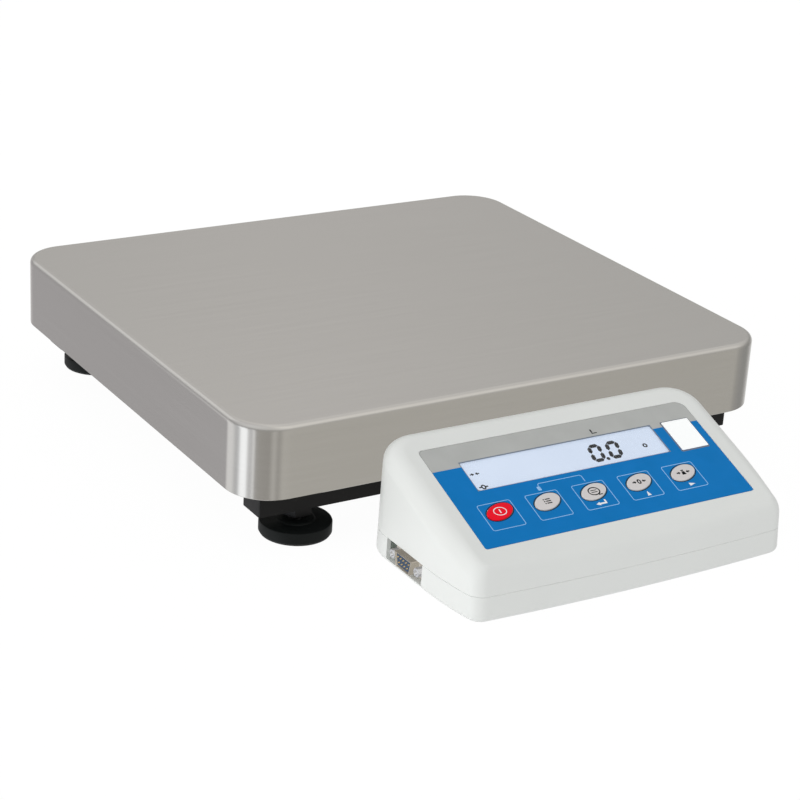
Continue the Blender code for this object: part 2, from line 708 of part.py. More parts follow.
def make_upper_shell(plastic):
    low = TERMINAL_PARTING + GAP / 2
    outer = [wall_ring(low, 0.0), *rim_rings(0.0, 6)]
    inner = [wall_ring(low, TERMINAL_WALL), *rim_rings(TERMINAL_WALL, 5)]
    bm = bmesh.new()
    add_loft(bm, [*reversed(inner), *outer])
    shell = make_object("terminal_upper_shell", bm, plastic, smooth=True)
    recess = make_prism("overlay_recess", overlay_outline(GAP), -RECESS, 0.01, None, PANEL)
    combine(shell, recess, "DIFFERENCE")
    openings = bmesh.new()
    module = (MODULE_SIZE[0] + 2 * GAP, MODULE_SIZE[1] + 2 * GAP)
    add_prism(openings, rectangle(*module, WINDOW_AT), -0.01, 0.005)
    key_span = (KEY_PITCH * (len(KEY_NAMES) - 1) + 0.016, 0.014)
    add_prism(openings, rectangle(*key_span, (KEY_MIDDLE_U, KEY_ROW)), -0.01, 0.005)
    combine(shell, make_object("panel_openings", openings, None, PANEL), "DIFFERENCE")
    gland = [facing_y(TERMINAL_GLAND[0], TERMINAL_BACK, TERMINAL_GLAND[1])]
    drill(shell, "shell_gland_hole", GLAND_THREAD_RADIUS + GAP, -0.01, 0.01, gland, 20)


def base_rings(inset, turns):
    """Rings up the rounded bottom edge, from the flat bottom to the wall."""
    radius = TERMINAL_BASE_EDGE - inset
    rings = []
    for turn in range(turns + 1):
        angle = math.pi / 2 * turn / turns
        height = LEAN_DATUM - radius * math.cos(angle)
        ring = wall_ring(LEAN_DATUM, TERMINAL_BASE_EDGE - radius * math.sin(angle))
        rings.append([(point.x, point.y, height) for point in ring])
    return rings


def make_lower_shell(plastic):
    high = TERMINAL_PARTING - GAP / 2
    outer = [*base_rings(0.0, 3), wall_ring(high, 0.0)]
    inner = [*base_rings(TERMINAL_WALL, 1), wall_ring(high, TERMINAL_WALL)]
    bm = bmesh.new()
    add_loft(bm, [*outer, *reversed(inner)])
    shell = make_object("terminal_lower_shell", bm, plastic, smooth=True)
    notch = make_box(
        "serial_notch",
        (SIDE_X - 0.01, SERIAL_Y + SERIAL_NOTCH[0], NOTCH_BOTTOM),
        (SIDE_X + 0.006, SERIAL_Y + SERIAL_NOTCH[1], TERMINAL_PARTING + 0.01),
    )
    combine(shell, notch, "DIFFERENCE")
    half = INLET_SIZE[0] / 2 + GAP
    inlet = make_box(
        "inlet_opening",
        (INLET_X - half, TERMINAL_BACK - 0.006, MAIN_BOARD_BOTTOM),
        (INLET_X + half, TERMINAL_BACK + 0.006, TERMINAL_PARTING + 0.01),
    )
    combine(shell, inlet, "DIFFERENCE")
    screws = [facing_y(x, TERMINAL_BACK, SHELL_SCREW_HEIGHT) for x in bracket_screw_xs()]
    drill(shell, "shell_screw_holes", SHELL_SCREW_RADIUS + GAP, -0.01, 0.01, screws, 12)


def overlay_outline(margin):
    width, depth = (size + 2 * margin for size in OVERLAY_SIZE)
    return rounded_rectangle(width, depth, OVERLAY_CORNERS, 4)


def make_overlay(film):
    overlay = make_prism("panel_overlay", overlay_outline(0.0), -OVERLAY_SHEET, 0.0, film, PANEL)
    holes = bmesh.new()
    window = rounded_rectangle(*WINDOW_SIZE, [0.0015] * 4, 3, WINDOW_AT)
    add_prism(holes, window, -0.01, 0.01)
    for u in KEY_US:
        add_prism(holes, ellipse(*KEY_HOLE_SEMI, 28, KEY_SLANT, (u, KEY_ROW)), -0.01, 0.01)
    combine(overlay, make_object("overlay_holes", holes, None, PANEL), "DIFFERENCE")


def make_display(glass, screen, light):
    lens = rounded_rectangle(
        WINDOW_SIZE[0] - 2 * GAP, WINDOW_SIZE[1] - 2 * GAP, [0.0013] * 4, 3, WINDOW_AT
    )
    make_prism("display_window", lens, -OVERLAY_SHEET, 0.0, glass, PANEL)
    top = -RECESS
    module = rectangle(*MODULE_SIZE, WINDOW_AT)
    make_prism("display_module", module, top - MODULE_DEPTH, top, screen, PANEL)
    guide = rectangle(MODULE_SIZE[0] - 0.004, MODULE_SIZE[1] - 0.002, WINDOW_AT)
    back = top - MODULE_DEPTH - GAP
    make_prism("display_backlight", guide, back - LIGHT_GUIDE_DEPTH, back, light, PANEL)


def make_keys(red, grey):
    for name, u in zip(KEY_NAMES, KEY_US):
        place = PANEL @ at(u, KEY_ROW)
        bm = bmesh.new()
        steps = ((0.0, -GAP), (0.0, KEY_RAISED - 0.0002), (0.0004, KEY_RAISED))
        rings = [
            [(x, y, w) for x, y in ellipse(KEY_SEMI[0] - inset, KEY_SEMI[1] - inset, 28, KEY_SLANT)]
            for inset, w in steps
        ]
        add_loft(bm, rings)
        key = make_object(name, bm, red if name == "key_power" else grey, place, smooth=True)
        plunger = bmesh.new()
        tip = KEY_BOARD_TOP + KEY_TRAVEL + GAP
        add_turned(plunger, [(KEY_PLUNGER, tip), (KEY_PLUNGER, 0.0)], 14)
        combine(key, make_object(name + "_plunger", plunger, None, place), "UNION")


def make_boards(green):
    keys = rectangle(KEY_PITCH * (len(KEY_NAMES) - 1) + 0.026, 0.024, (KEY_MIDDLE_U, KEY_ROW))
    make_prism("key_board", keys, KEY_BOARD_TOP - BOARD_SHEET, KEY_BOARD_TOP, green, PANEL)
    make_box(
        "main_board",
        (SIDE_X + 0.0065, SERIAL_Y - 0.042, MAIN_BOARD_BOTTOM),
        (SIDE_X + TERMINAL_WIDTH - 0.012, SERIAL_Y + 0.019, MAIN_BOARD_TOP),
        green,
    )


def serial_shell_outline(margin):
    """The D-shaped shell of a nine-way connector, wider at the top."""
    wide, narrow = SERIAL_SHELL[0] / 2 + margin, SERIAL_SHELL[0] / 2 - 0.0015 + margin
    half = SERIAL_SHELL[1] / 2 + margin
    return [(-narrow, -half), (narrow, -half), (wide, half), (-wide, half)]


def make_serial_connector(metal):
    """A nine-way socket on the main board: flange, D-shaped shell and body."""
    to_left = at(SIDE_X + TERMINAL_WALL + 0.0008, SERIAL_Y, SERIAL_HEIGHT)
    to_left = to_left @ Matrix.Rotation(-math.pi / 2, 4, "Z") @ Matrix.Rotation(math.pi / 2, 4, "X")
    flange = rounded_rectangle(*SERIAL_FLANGE, [0.001] * 4, 2)
    connector = make_prism("serial_connector", flange, -0.0008, 0.0, metal, to_left)
    shell = make_prism("serial_shell", serial_shell_outline(0), -0.0004, 0.0058, None, to_left)
    combine(connector, shell, "UNION")
    body_low = MAIN_BOARD_TOP + GAP - SERIAL_HEIGHT
    section = [(-0.0085, body_low), (0.0085, body_low), (0.0085, 0.0042), (-0.0085, 0.0042)]
    body = make_prism("serial_body", section, -0.010, -0.0004, None, to_left)
    combine(connector, body, "UNION")
    mouth = make_prism("serial_mouth", serial_shell_outline(-0.0005), 0.0035, 0.010, None, to_left)
    combine(connector, mouth, "DIFFERENCE")
    jacks = [to_left @ at(x, 0) for x in (-JACK_SPACING / 2, JACK_SPACING / 2)]
    drill(connector, "jack_holes", 0.0015 + GAP, -0.01, 0.01, jacks, 12)
    return jacks


def make_jack_screws(steel, places):
    for name, place in zip(("jack_screw_front", "jack_screw_back"), places):
        bm = bmesh.new()
        add_prism(bm, hexagon(0.0048), GAP, 0.0048)
        screw = make_object(name, bm, steel, place)
        stem = bmesh.new()
        add_turned(stem, [(0.0015, -0.004), (0.0015, 0.001)], 12)
        combine(screw, make_object(name + "_stem", stem, None, place), "UNION")
        drill(screw, name + "_bore", 0.0013, 0.001, 0.01, [place], 12)


def make_power_inlet(plastic):
    """A barrel jack on the main board, its mouth flush in the back of the lower shell."""
    width, length, height = INLET_SIZE
    low = MAIN_BOARD_TOP + GAP
    back = TERMINAL_BACK - 0.0006
    inlet = make_box(
        "power_inlet",
        (INLET_X - width / 2, back - length, low),
        (INLET_X + width / 2, back, low + height),
        plastic,
    )
    bm = bmesh.new()
    place = facing_y(INLET_X, TERMINAL_BACK, low + height / 2)
    add_sleeve(bm, [(0.0028, -0.001), (0.0028, 0.009)], 0.001, 16, place)
    combine(inlet, make_object("inlet_mouth", bm), "DIFFERENCE")


def make_terminal_feet(rubber):
    r = 0.006
    profile = [(r - 0.0004, 0), (r, 0.0004), (r, TERMINAL_BOTTOM - GAP)]
    inset_x, inset_y = TERMINAL_WIDTH / 2 - 0.018, 0.017
    ys = (TERMINAL_FRONT + inset_y, TERMINAL_BACK - inset_y)
    for side, x in (("left", -inset_x), ("right", inset_x)):
        for end, y in zip(("front", "back"), ys):
            make_turned(f"terminal_foot_{end}_{side}", profile, 20, rubber, at(TERMINAL_X + x, y))


def make_sticker(paper):
    outline = rounded_rectangle(*STICKER_SIZE, [0.0006] * 4, 2, STICKER_AT)
    make_prism("seal_sticker", outline, GAP, GAP + STICKER_SHEET, paper, PANEL)


def bracket_screw_xs():
    return [TERMINAL_X + side * BRACKET_SCREW_SPACING / 2 for side in (-1, 1)]


def make_bracket(paint):
    """An angled strip: flat under the front rail, turned down against the terminal's back."""
    top = RAIL_BOTTOM - GAP
    back = FRONT_RAIL_Y + RAIL_DEPTH / 2
    front = TERMINAL_BACK + GAP
    section = [
        (front, BRACKET_BOTTOM), (front + BRACKET_SHEET, BRACKET_BOTTOM),
        (front + BRACKET_SHEET, top - BRACKET_SHEET), (back, top - BRACKET_SHEET),
        (back, top), (front, top),
    ]
    upright = Matrix.Rotation(math.pi / 2, 4, "Z") @ Matrix.Rotation(math.pi / 2, 4, "X")
    along_x = at(TERMINAL_X, 0) @ upright
    half = BRACKET_WIDTH / 2
    bracket = make_prism("terminal_bracket", section, -half, half, paint, along_x)
    rail_holes = [at(x, FRONT_RAIL_Y) for x in bracket_screw_xs()]
    drill(bracket, "bracket_rail_holes", RAIL_SCREW_RADIUS + GAP, 0.0, RAIL_BOTTOM, rail_holes)
    shell_holes = [facing_y(x, TERMINAL_BACK, SHELL_SCREW_HEIGHT) for x in bracket_screw_xs()]
    drill(bracket, "bracket_shell_holes", SHELL_SCREW_RADIUS + GAP, -0.01, 0.01, shell_holes, 12)


def make_pan_screw(name, radius, length, place, steel):
    """A pan-head screw whose head sits on local -Z and whose tip points along local +Z."""
    head = 1.9 * radius
    profile = [
        (head - 0.0008, -0.0022), (head, -0.0012), (head, -GAP), (radius, -GAP), (radius, length)
    ]
    screw = make_turned(name, profile, 16, steel, place)
    reach = 1.3 * radius
    slot = make_box(name + "_slot", (-0.0005, -reach, -0.003), (0.0005, reach, -0.0012))
    slot.matrix_world = place
    combine(screw, slot, "DIFFERENCE")


def make_bracket_screws(steel):
    under = RAIL_BOTTOM - GAP - BRACKET_SHEET
    behind = TERMINAL_BACK + GAP + BRACKET_SHEET
    for side, x in zip(("left", "right"), bracket_screw_xs()):
        rail_place = at(x, FRONT_RAIL_Y, under)
        make_pan_screw("bracket_rail_screw_" + side, RAIL_SCREW_RADIUS, 0.0065, rail_place, steel)
        shell_place = facing_y(x, behind, SHELL_SCREW_HEIGHT)
        make_pan_screw("bracket_shell_screw_" + side, SHELL_SCREW_RADIUS, 0.0075, shell_place, steel)


def build():
    clear_scene()
    stainless = make_material("brushed_stainless", (0.62, 0.60, 0.57), 0.32, 1.0)
    steel = make_material("zinc_plated_steel", (0.55, 0.55, 0.56), 0.35, 1.0)
    blackened = make_material("blackened_steel", (0.025, 0.025, 0.027), 0.4, 0.8)
    aluminium = make_material("aluminium", (0.72, 0.72, 0.73), 0.4, 1.0)
    black_paint = make_material("black_paint", (0.012, 0.012, 0.013), 0.45)
    black_plastic = make_material("black_plastic", (0.016, 0.017, 0.017), 0.5)
    rubber = make_material("rubber", (0.02, 0.02, 0.02), 0.85)
    abs_plastic = make_material("light_abs", (0.74, 0.76, 0.73), 0.45)
    film = make_material("printed_film", (0.01, 0.16, 0.44), 0.4)
    red = make_material("red_key", (0.75, 0.01, 0.02), 0.4)
    grey = make_material("grey_key", (0.55, 0.53, 0.54), 0.4)
    glass = make_material("clear_plastic", (0.85, 0.9, 0.95), 0.1)
    screen = make_material("display_glass", (0.66, 0.71, 0.85), 0.25)
    light = make_material("light_guide", (0.9, 0.92, 0.95), 0.3)
    board = make_material("circuit_board", (0.02, 0.20, 0.08), 0.5)
    paper = make_material("white_label", (0.9, 0.9, 0.9), 0.6)

    make_load_plate(stainless)
    make_rails(black_paint)
    make_centre_beam(black_paint)
    make_load_cell(aluminium)
    make_cell_bolts(steel)
    make_upper_frame(aluminium)
    make_buffers(rubber)
    make_overload_stops(steel)
    make_feet(black_plastic, blackened)
    make_spirit_level(glass)
    rail_front = FRONT_RAIL_Y - RAIL_DEPTH / 2
    make_gland("frame_gland", (FRAME_GLAND[0], rail_front, FRAME_GLAND[1]), -1, black_plastic)

    make_upper_shell(abs_plastic)
    make_lower_shell(abs_plastic)
    make_overlay(film)
    make_display(glass, screen, light)
    make_keys(red, grey)
    make_boards(board)
    jacks = make_serial_connector(steel)
    make_jack_screws(steel, jacks)
    make_power_inlet(black_plastic)
    shell_back = (TERMINAL_GLAND[0], TERMINAL_BACK, TERMINAL_GLAND[1])
    make_gland("terminal_gland", shell_back, 1, black_plastic)
    make_terminal_feet(rubber)
    make_sticker(paper)
    make_bracket(black_paint)
    make_bracket_screws(steel)


build()
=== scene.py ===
"""Looks of the bench scale: fine surfaces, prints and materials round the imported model.

Metres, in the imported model's frame. The terminal's printed panel has a frame of its own, PANEL,
with u to the right, v up the slope and w out of the panel.
"""

import json
import math

import bmesh
import bpy
from mathutils import Matrix, Vector

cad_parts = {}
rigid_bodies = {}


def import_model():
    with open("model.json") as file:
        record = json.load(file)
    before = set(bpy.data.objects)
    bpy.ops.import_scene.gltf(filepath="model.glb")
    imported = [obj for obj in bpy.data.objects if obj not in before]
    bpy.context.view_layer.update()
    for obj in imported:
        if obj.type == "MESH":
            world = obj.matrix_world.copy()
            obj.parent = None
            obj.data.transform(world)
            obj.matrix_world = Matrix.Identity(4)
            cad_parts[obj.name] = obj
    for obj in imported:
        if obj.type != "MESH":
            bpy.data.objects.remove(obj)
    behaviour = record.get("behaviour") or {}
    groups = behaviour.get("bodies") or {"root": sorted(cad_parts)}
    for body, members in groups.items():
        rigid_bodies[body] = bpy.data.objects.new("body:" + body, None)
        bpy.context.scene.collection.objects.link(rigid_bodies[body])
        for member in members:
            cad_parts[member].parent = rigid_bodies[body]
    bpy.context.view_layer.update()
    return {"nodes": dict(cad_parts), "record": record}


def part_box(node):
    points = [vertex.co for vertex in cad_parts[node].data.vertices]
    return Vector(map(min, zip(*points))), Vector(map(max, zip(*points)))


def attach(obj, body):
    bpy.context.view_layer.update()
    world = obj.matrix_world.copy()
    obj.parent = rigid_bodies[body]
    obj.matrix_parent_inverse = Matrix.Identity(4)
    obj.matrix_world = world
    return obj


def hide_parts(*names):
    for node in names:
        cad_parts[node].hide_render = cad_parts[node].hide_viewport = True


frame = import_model()

BASE = "base"
GAP = 0.0003
HAIR = 0.00003  # how far a print stands above what it is printed on
REACH = 0.01  # how far a cutter passes the surface that it cuts

# Load plate
PLATE_LOW, PLATE_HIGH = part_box("load_plate")
PLATFORM_Y = (PLATE_LOW.y + PLATE_HIGH.y) / 2
PLATE_CORNER = 0.0267
PLATE_EDGE = 0.0035
PLATE_SHEET = 0.0012
PLATE_HEM = 0.0004  # rounding of the sheet's cut edge

# Terminal
SHELL_LOW, SHELL_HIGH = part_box("terminal_lower_shell")
TERMINAL_X = (SHELL_LOW.x + SHELL_HIGH.x) / 2
TERMINAL_WIDTH = SHELL_HIGH.x - SHELL_LOW.x
TERMINAL_FRONT, TERMINAL_BACK = SHELL_LOW.y, SHELL_HIGH.y
TERMINAL_CORNERS = (0.009, 0.0225)  # front and back, seen from above
SIDE_CURVE = 0.0038  # how far a side curves in at its front end
SIDE_TURN = 0.19  # the angle by which it has turned there
FRONT_CURVE = 0.0029  # how far the front is bowed
FRONT_TURN = 0.06
TERMINAL_RIM = 0.011
PANEL_CORNERS = (0.004, 0.0115)  # front and back corners of the flat panel within the rim
TERMINAL_WALL = 0.0025
BASE_EDGE = 0.004
PARTING = 0.0168
PARTING_ROUND = 0.0002
PARTING_GAP = 0.0002
TONGUE = (0.0004, 0.0016)  # how far inside the wall the joint between the shells is closed
SERIAL_HEIGHT = 0.0112
SERIAL_NOTCH = (0.016, 0.0365)  # opening for the serial connector and its jack screws, in plan
SERIAL_NOTCH_SHIFT = 0.00225
FRONT_LEAN = 0.078
SIDE_LEAN = 0.012
LEAN_DATUM = SHELL_LOW.z + BASE_EDGE
PANEL_TILT = math.radians(20.3)
PANEL_HEIGHT = 0.0506
PANEL_Y = TERMINAL_FRONT + 0.0534
PANEL = Matrix.Translation((TERMINAL_X, PANEL_Y, PANEL_HEIGHT)) @ Matrix.Rotation(PANEL_TILT, 4, "X")
PANEL_NORMAL = Vector((0, -math.sin(PANEL_TILT), math.cos(PANEL_TILT)))
WALL_DIRECTIONS = ((0, -1), (1, 0), (0, 1), (-1, 0))
INLET_ROOM = 0.004  # how far the opening for the power inlet passes it, except at its sides

# Printed panel
FILM_SIZE = (0.1807, 0.0767)
FILM_SHEET = 0.0005
FILM_CORNERS = (0.0015, 0.0015, 0.006, 0.003)
FILM_RECESS = FILM_SHEET + GAP
GREY_FROM = 0.0212  # the film is grey above this v, and blue below it
WINDOW_SIZE = (0.1298, 0.0222)
WINDOW_AT = (-0.0067, 0.0133)
MODULE_SIZE = (WINDOW_SIZE[0] + 0.004, WINDOW_SIZE[1] + 0.004)
MODULE_DEPTH = 0.0035
STICKER_SIZE = (0.0187, 0.0234)
STICKER_AT = (0.0756, 0.0125)
KEY_NAMES = ("key_power", "key_function", "key_print", "key_zero", "key_tare")
KEY_PITCH = 0.0309
KEY_ROW = -0.0153
KEY_US = [-0.0064 + (number - 2) * KEY_PITCH for number in range(5)]
KEY_SEMI = (0.0091, 0.0053)
KEY_SLANT = math.radians(19)
KEY_TOP = 0.0005
KEY_BOTTOM = -0.0021
KEY_STEPS = 64
KEY_FRAME = (0.0214, 0.0197)
KEY_FRAME_CORNER = 0.0015
FRAME_LINE = 0.0004
PRINTED = (-HAIR, HAIR)  # low and high of a print on the film

# Levelling feet
FOOT_LOW, FOOT_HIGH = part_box("foot_disc_front_left")
FOOT_RADIUS = (FOOT_HIGH.x - FOOT_LOW.x) / 2
DISC_HEIGHT = 0.0082
DISC_STEPS = 96
THREAD_PITCH = 0.0015
THREAD_RADIUS = 0.005
THREAD_DEPTH = 0.0008

CORNERS = ("front_left", "front_right", "back_left", "back_right")
CORNER_SIDES = ((-1, -1), (1, -1), (1, 1), (-1, 1))  # in x and y, anticlockwise from the front left
HERE = Matrix.Identity(4)


# Outlines: lists of (x, y), anticlockwise


def ellipse(semi_x, semi_y, steps, slant=0.0, middle=(0.0, 0.0)):
    points = []
    for step in range(steps):
        angle = 2 * math.pi * step / steps
        x, y = semi_x * math.cos(angle), semi_y * math.sin(angle)
        points.append((
            middle[0] + x * math.cos(slant) - y * math.sin(slant),
            middle[1] + x * math.sin(slant) + y * math.cos(slant),
        ))
    return points


def circle(radius, steps, middle=(0.0, 0.0)):
    return ellipse(radius, radius, steps, 0.0, middle)


def arc(radius, start, end, steps, middle):
    """Points from one angle to another, in degrees."""
    points = []
    for step in range(steps + 1):
        angle = math.radians(start + (end - start) * step / steps)
        points.append((middle[0] + radius * math.cos(angle), middle[1] + radius * math.sin(angle)))
    return points


def rectangle(width, depth, middle=(0.0, 0.0)):
    x, y = middle
    return [(x + side_x * width / 2, y + side_y * depth / 2) for side_x, side_y in CORNER_SIDES]


def rounded(width, depth, radii, steps, middle=(0.0, 0.0)):
    """A rectangle with round corners. radii: front-left, front-right, back-right, back-left."""
    points = []
    for corner, (radius, (side_x, side_y)) in enumerate(zip(radii, CORNER_SIDES)):
        x = middle[0] + side_x * (width / 2 - radius)
        y = middle[1] + side_y * (depth / 2 - radius)
        start = 180 + 90 * corner
        points += arc(radius, start, start + 90, steps, (x, y))
    return points


# Mesh building


def add_rows(bm, rows, closed=False):
    """Quads between neighbouring rings of vertices."""
    pairs = list(zip(rows, rows[1:]))
    if closed:
        pairs.append((rows[-1], rows[0]))
    for lower, upper in pairs:
        for i, vertex in enumerate(lower):
            j = (i + 1) % len(lower)
            bm.faces.new((vertex, lower[j], upper[j], upper[i]))


def add_loft(bm, rings):
    """One closed body through rings of equal length, with a flat cap on the first and last."""
    rows = [[bm.verts.new(point) for point in ring] for ring in rings]
    add_rows(bm, rows)
    bm.faces.new(list(reversed(rows[0])))
    bm.faces.new(rows[-1])


def add_prism(bm, outline, low, high, place=HERE):
    add_loft(bm, [[place @ Vector((x, y, z)) for x, y in outline] for z in (low, high)])


def add_flat(bm, outline, span=PRINTED):
    add_prism(bm, outline, *span)


def add_ring(bm, outer, inner, span=PRINTED):
    """A flat band between two outlines of equal length."""
    low, high = span
    rings = [(inner, low), (outer, low), (outer, high), (inner, high)]
    rows = [[bm.verts.new((x, y, z)) for x, y in outline] for outline, z in rings]
    add_rows(bm, rows, closed=True)


def add_bar(bm, start, end, width, span=PRINTED):
    """A straight flat stroke between two points."""
    start, end = Vector(start), Vector(end)
    across = (end - start).normalized().orthogonal() * width / 2
    outline = [start - across, end - across, end + across, start + across]
    add_flat(bm, [tuple(point) for point in outline], span)


def add_turned(bm, profile, steps, place=HERE):
    add_loft(bm, [[place @ Vector((x, y, z)) for x, y in circle(r, steps)] for r, z in profile])


def make_object(name, bm, place=HERE, smooth_angle=35):
    bmesh.ops.recalc_face_normals(bm, faces=bm.faces)
    mesh = bpy.data.meshes.new(name)
    bm.to_mesh(mesh)
    bm.free()
    mesh.shade_smooth()
    mesh.set_sharp_from_angle(angle=math.radians(smooth_angle))
    obj = bpy.data.objects.new(name, mesh)
    bpy.context.scene.collection.objects.link(obj)
    obj.matrix_world = place
    return obj


def make_prism(name, outline, low, high, place=HERE):
    bm = bmesh.new()
    add_prism(bm, outline, low, high)
    return make_object(name, bm, place)


def make_turned(name, profile, steps, place):
    bm = bmesh.new()
    add_turned(bm, profile, steps)
    return make_object(name, bm, place)


def finish_piece(obj, body, slot, *replaced, material=None):
    obj.data.materials.clear()
    obj.data.materials.append(material or MATERIALS[slot])
    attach(obj, body)
    if replaced:
        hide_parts(*replaced)


def finish_print(name, bm, ink, slot="panel_film"):
    """A flat print on the terminal's panel."""
    finish_piece(make_object(name, bm, PANEL), BASE, slot, material=ink)


def keep_shading(obj, keep_sharp=True):
    obj.modifiers.new("shading", "WEIGHTED_NORMAL").keep_sharp = keep_sharp


def soften_edges(obj, width, angle=35):
    bevel = obj.modifiers.new("edges", "BEVEL")
    bevel.width = width
    bevel.segments = 2
    bevel.limit_method = "ANGLE"
    bevel.angle_limit = math.radians(angle)
    keep_shading(obj, False)


def cut_away(obj, cutter_mesh, place=HERE):
    """Removes a closed shape from an object's mesh for good."""
    cutter = make_object(obj.name + "_cutter", cutter_mesh, place)
    modifier = obj.modifiers.new("cut", "BOOLEAN")
    modifier.operation = "DIFFERENCE"
    modifier.solver = "EXACT"
    modifier.object = cutter
    bpy.context.view_layer.update()
    evaluated = obj.evaluated_get(bpy.context.evaluated_depsgraph_get())
    mesh = bpy.data.meshes.new_from_object(evaluated)
    obj.modifiers.clear()
    obj.data = mesh
    mesh.set_sharp_from_angle(angle=math.radians(35))
    bpy.data.objects.remove(cutter, do_unlink=True)


def cut_prisms(obj, outlines, low, high, place=HERE):
    bm = bmesh.new()
    for outline in outlines:
        add_prism(bm, outline, low, high)
    cut_away(obj, bm, place)


def cut_bores(obj, nodes, radius, steps):
    """Round holes in the terminal's back wall, for CAD nodes that pass through it."""
    bm = bmesh.new()
    for node in nodes:
        low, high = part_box(node)
        middle = (low + high) / 2
        place = at(middle.x, TERMINAL_BACK, middle.z) @ Matrix.Rotation(math.pi / 2, 4, "X")
        add_turned(bm, [(radius, -REACH), (radius, REACH)], steps, place)
    cut_away(obj, bm)


def at(x, y, z=0.0):
    return Matrix.Translation((x, y, z))


# Material building


class Paint:
    """A Principled material, with short ways to add the nodes that vary it."""

    def __init__(self, name, **sockets):
        self.material = bpy.data.materials.new(name)
        self.material.use_nodes = True
        self.tree = self.material.node_tree
        self.shader = self.tree.nodes["Principled BSDF"]
        for key, value in sockets.items():
            self.set(key.replace("_", " "), value)

    def set(self, key, value):
        fill_socket(self.tree, self.shader.inputs[key], value)

    def node(self, kind, inputs=None, **settings):
        return add_node(self.tree, kind, inputs, **settings)

    def where(self, scale=(1, 1, 1)):
        """Coordinates on the object, stretched along its axes."""
        found = self.node("TexCoord").outputs["Object"]
        return self.node("Mapping", {"Vector": found, "Scale": scale}).outputs["Vector"]

    def noise(self, scale, stretch=(1, 1, 1), detail=3):
        inputs = {"Vector": self.where(stretch), "Scale": scale, "Detail": detail}
        return self.node("TexNoise", inputs).outputs["Fac"]

    def cells(self, scale):
        return self.node("TexVoronoi", {"Vector": self.where(), "Scale": scale}).outputs["Distance"]

    def spread(self, value, low, high, source=(0.3, 0.7)):
        """Maps a noise's usual range to low and high."""
        return add_range(self.tree, value, *source, low, high)

    def cloud(self, scale, detail=3, source=(0.3, 0.7)):
        """A noise that fills the range from 0 to 1."""
        return self.spread(self.noise(scale, detail=detail), 0, 1, source)

    def roughen(self, scale, low, high, detail=3):
        self.set("Roughness", self.spread(self.noise(scale, detail=detail), low, high))

    def colour(self, factor, first, second):
        self.set("Base Color", self.blend(factor, first, second))

    def math(self, operation, first, second=0.0):
        return add_math(self.tree, operation, first, second)

    def mix_shares(self, first, first_share, second, second_share):
        parts = self.math("MULTIPLY", first, first_share), self.math("MULTIPLY", second, second_share)
        return self.math("ADD", *parts)

    def blend(self, factor, first, second):
        inputs = {"Factor": factor, 6: first, 7: second}
        return self.node("Mix", inputs, data_type="RGBA").outputs[2]

    def tint(self, factor, colour, variation):
        """A colour that varies by a share of itself."""
        self.colour(factor, shade(colour, 1 - variation), shade(colour, 1 + variation))

    def bump(self, height, distance, normal=None):
        inputs = {"Height": height, "Distance": distance, "Strength": 1.0}
        if normal:
            inputs["Normal"] = normal
        return self.node("Bump", inputs).outputs["Normal"]


def add_node(tree, kind, inputs=None, **settings):
    made = tree.nodes.new("ShaderNode" + kind)
    for key, value in settings.items():
        setattr(made, key, value)
    for key, value in (inputs or {}).items():
        fill_socket(tree, made.inputs[key], value)
    return made


def add_math(tree, operation, first, second=0.0):
    return add_node(tree, "Math", {0: first, 1: second}, operation=operation).outputs["Value"]


def add_range(tree, *values, **settings):
    """values: what is mapped, the ends of its own range, and the ends of the new range."""
    return add_node(tree, "MapRange", dict(enumerate(values)), **settings).outputs["Result"]


def fill_socket(tree, socket, value):
    if isinstance(value, bpy.types.NodeSocket):
        tree.links.new(value, socket)
    elif isinstance(value, tuple) and len(value) == 3 and socket.type == "RGBA":
        socket.default_value = (*value, 1.0)
    else:
        socket.default_value = value


def shade(colour, factor):
    return tuple(min(1.0, part * factor) for part in colour)


def moulded(name, colour, roughness, grain, depth, variation, **sockets):
    """Moulded plastic or rubber: a fine spark-eroded grain and faint flow and handling marks."""
    paint = Paint(name, **sockets)
    flow = paint.spread(paint.noise(18, (1, 1, 1.6)), 0, 1)
    paint.tint(flow, colour, variation)
    paint.roughen(55, roughness - 0.05, roughness + 0.06, 5)
    coarse = paint.bump(paint.noise(grain / 6, detail=1), depth * 1.5)
    paint.set("Normal", paint.bump(paint.cells(grain), depth, coarse))
    return paint.material


def painted(name, colour, roughness):
    """Powder coat: orange peel, dust lying in it, and a tone that varies a little from place to
    place.
    """
    paint = Paint(name, Specular_IOR_Level=0.16)
    dust = paint.cloud(420, 4, (0.62, 0.75))
    base = paint.blend(paint.cloud(12, 4), shade(colour, 0.85), shade(colour, 1.2))
    paint.colour(paint.math("MULTIPLY", dust, 0.15), base, (0.08, 0.08, 0.08))
    paint.roughen(40, roughness - 0.06, roughness + 0.1, 4)
    peel = paint.bump(paint.noise(900, detail=2), 0.00003)
    paint.set("Normal", paint.bump(paint.cells(2400), 0.00001, peel))
    return paint.material


def metal(name, colour, roughness, stretch=(1, 1, 1), grain=1500, variation=0.08):
    """Bare or plated metal: streaks along the last machining, stains and a little tarnish."""
    paint = Paint(name, Metallic=1.0)
    streak = paint.noise(grain, stretch, 2)
    streaked = paint.mix_shares(streak, 0.5, paint.cloud(45, 5), 0.5)
    paint.tint(paint.spread(streaked, 0, 1), colour, variation)
    paint.set("Roughness", paint.spread(streaked, roughness - 0.07, roughness + 0.08))
    paint.set("Normal", paint.bump(streak, 0.000004))
    return paint.material


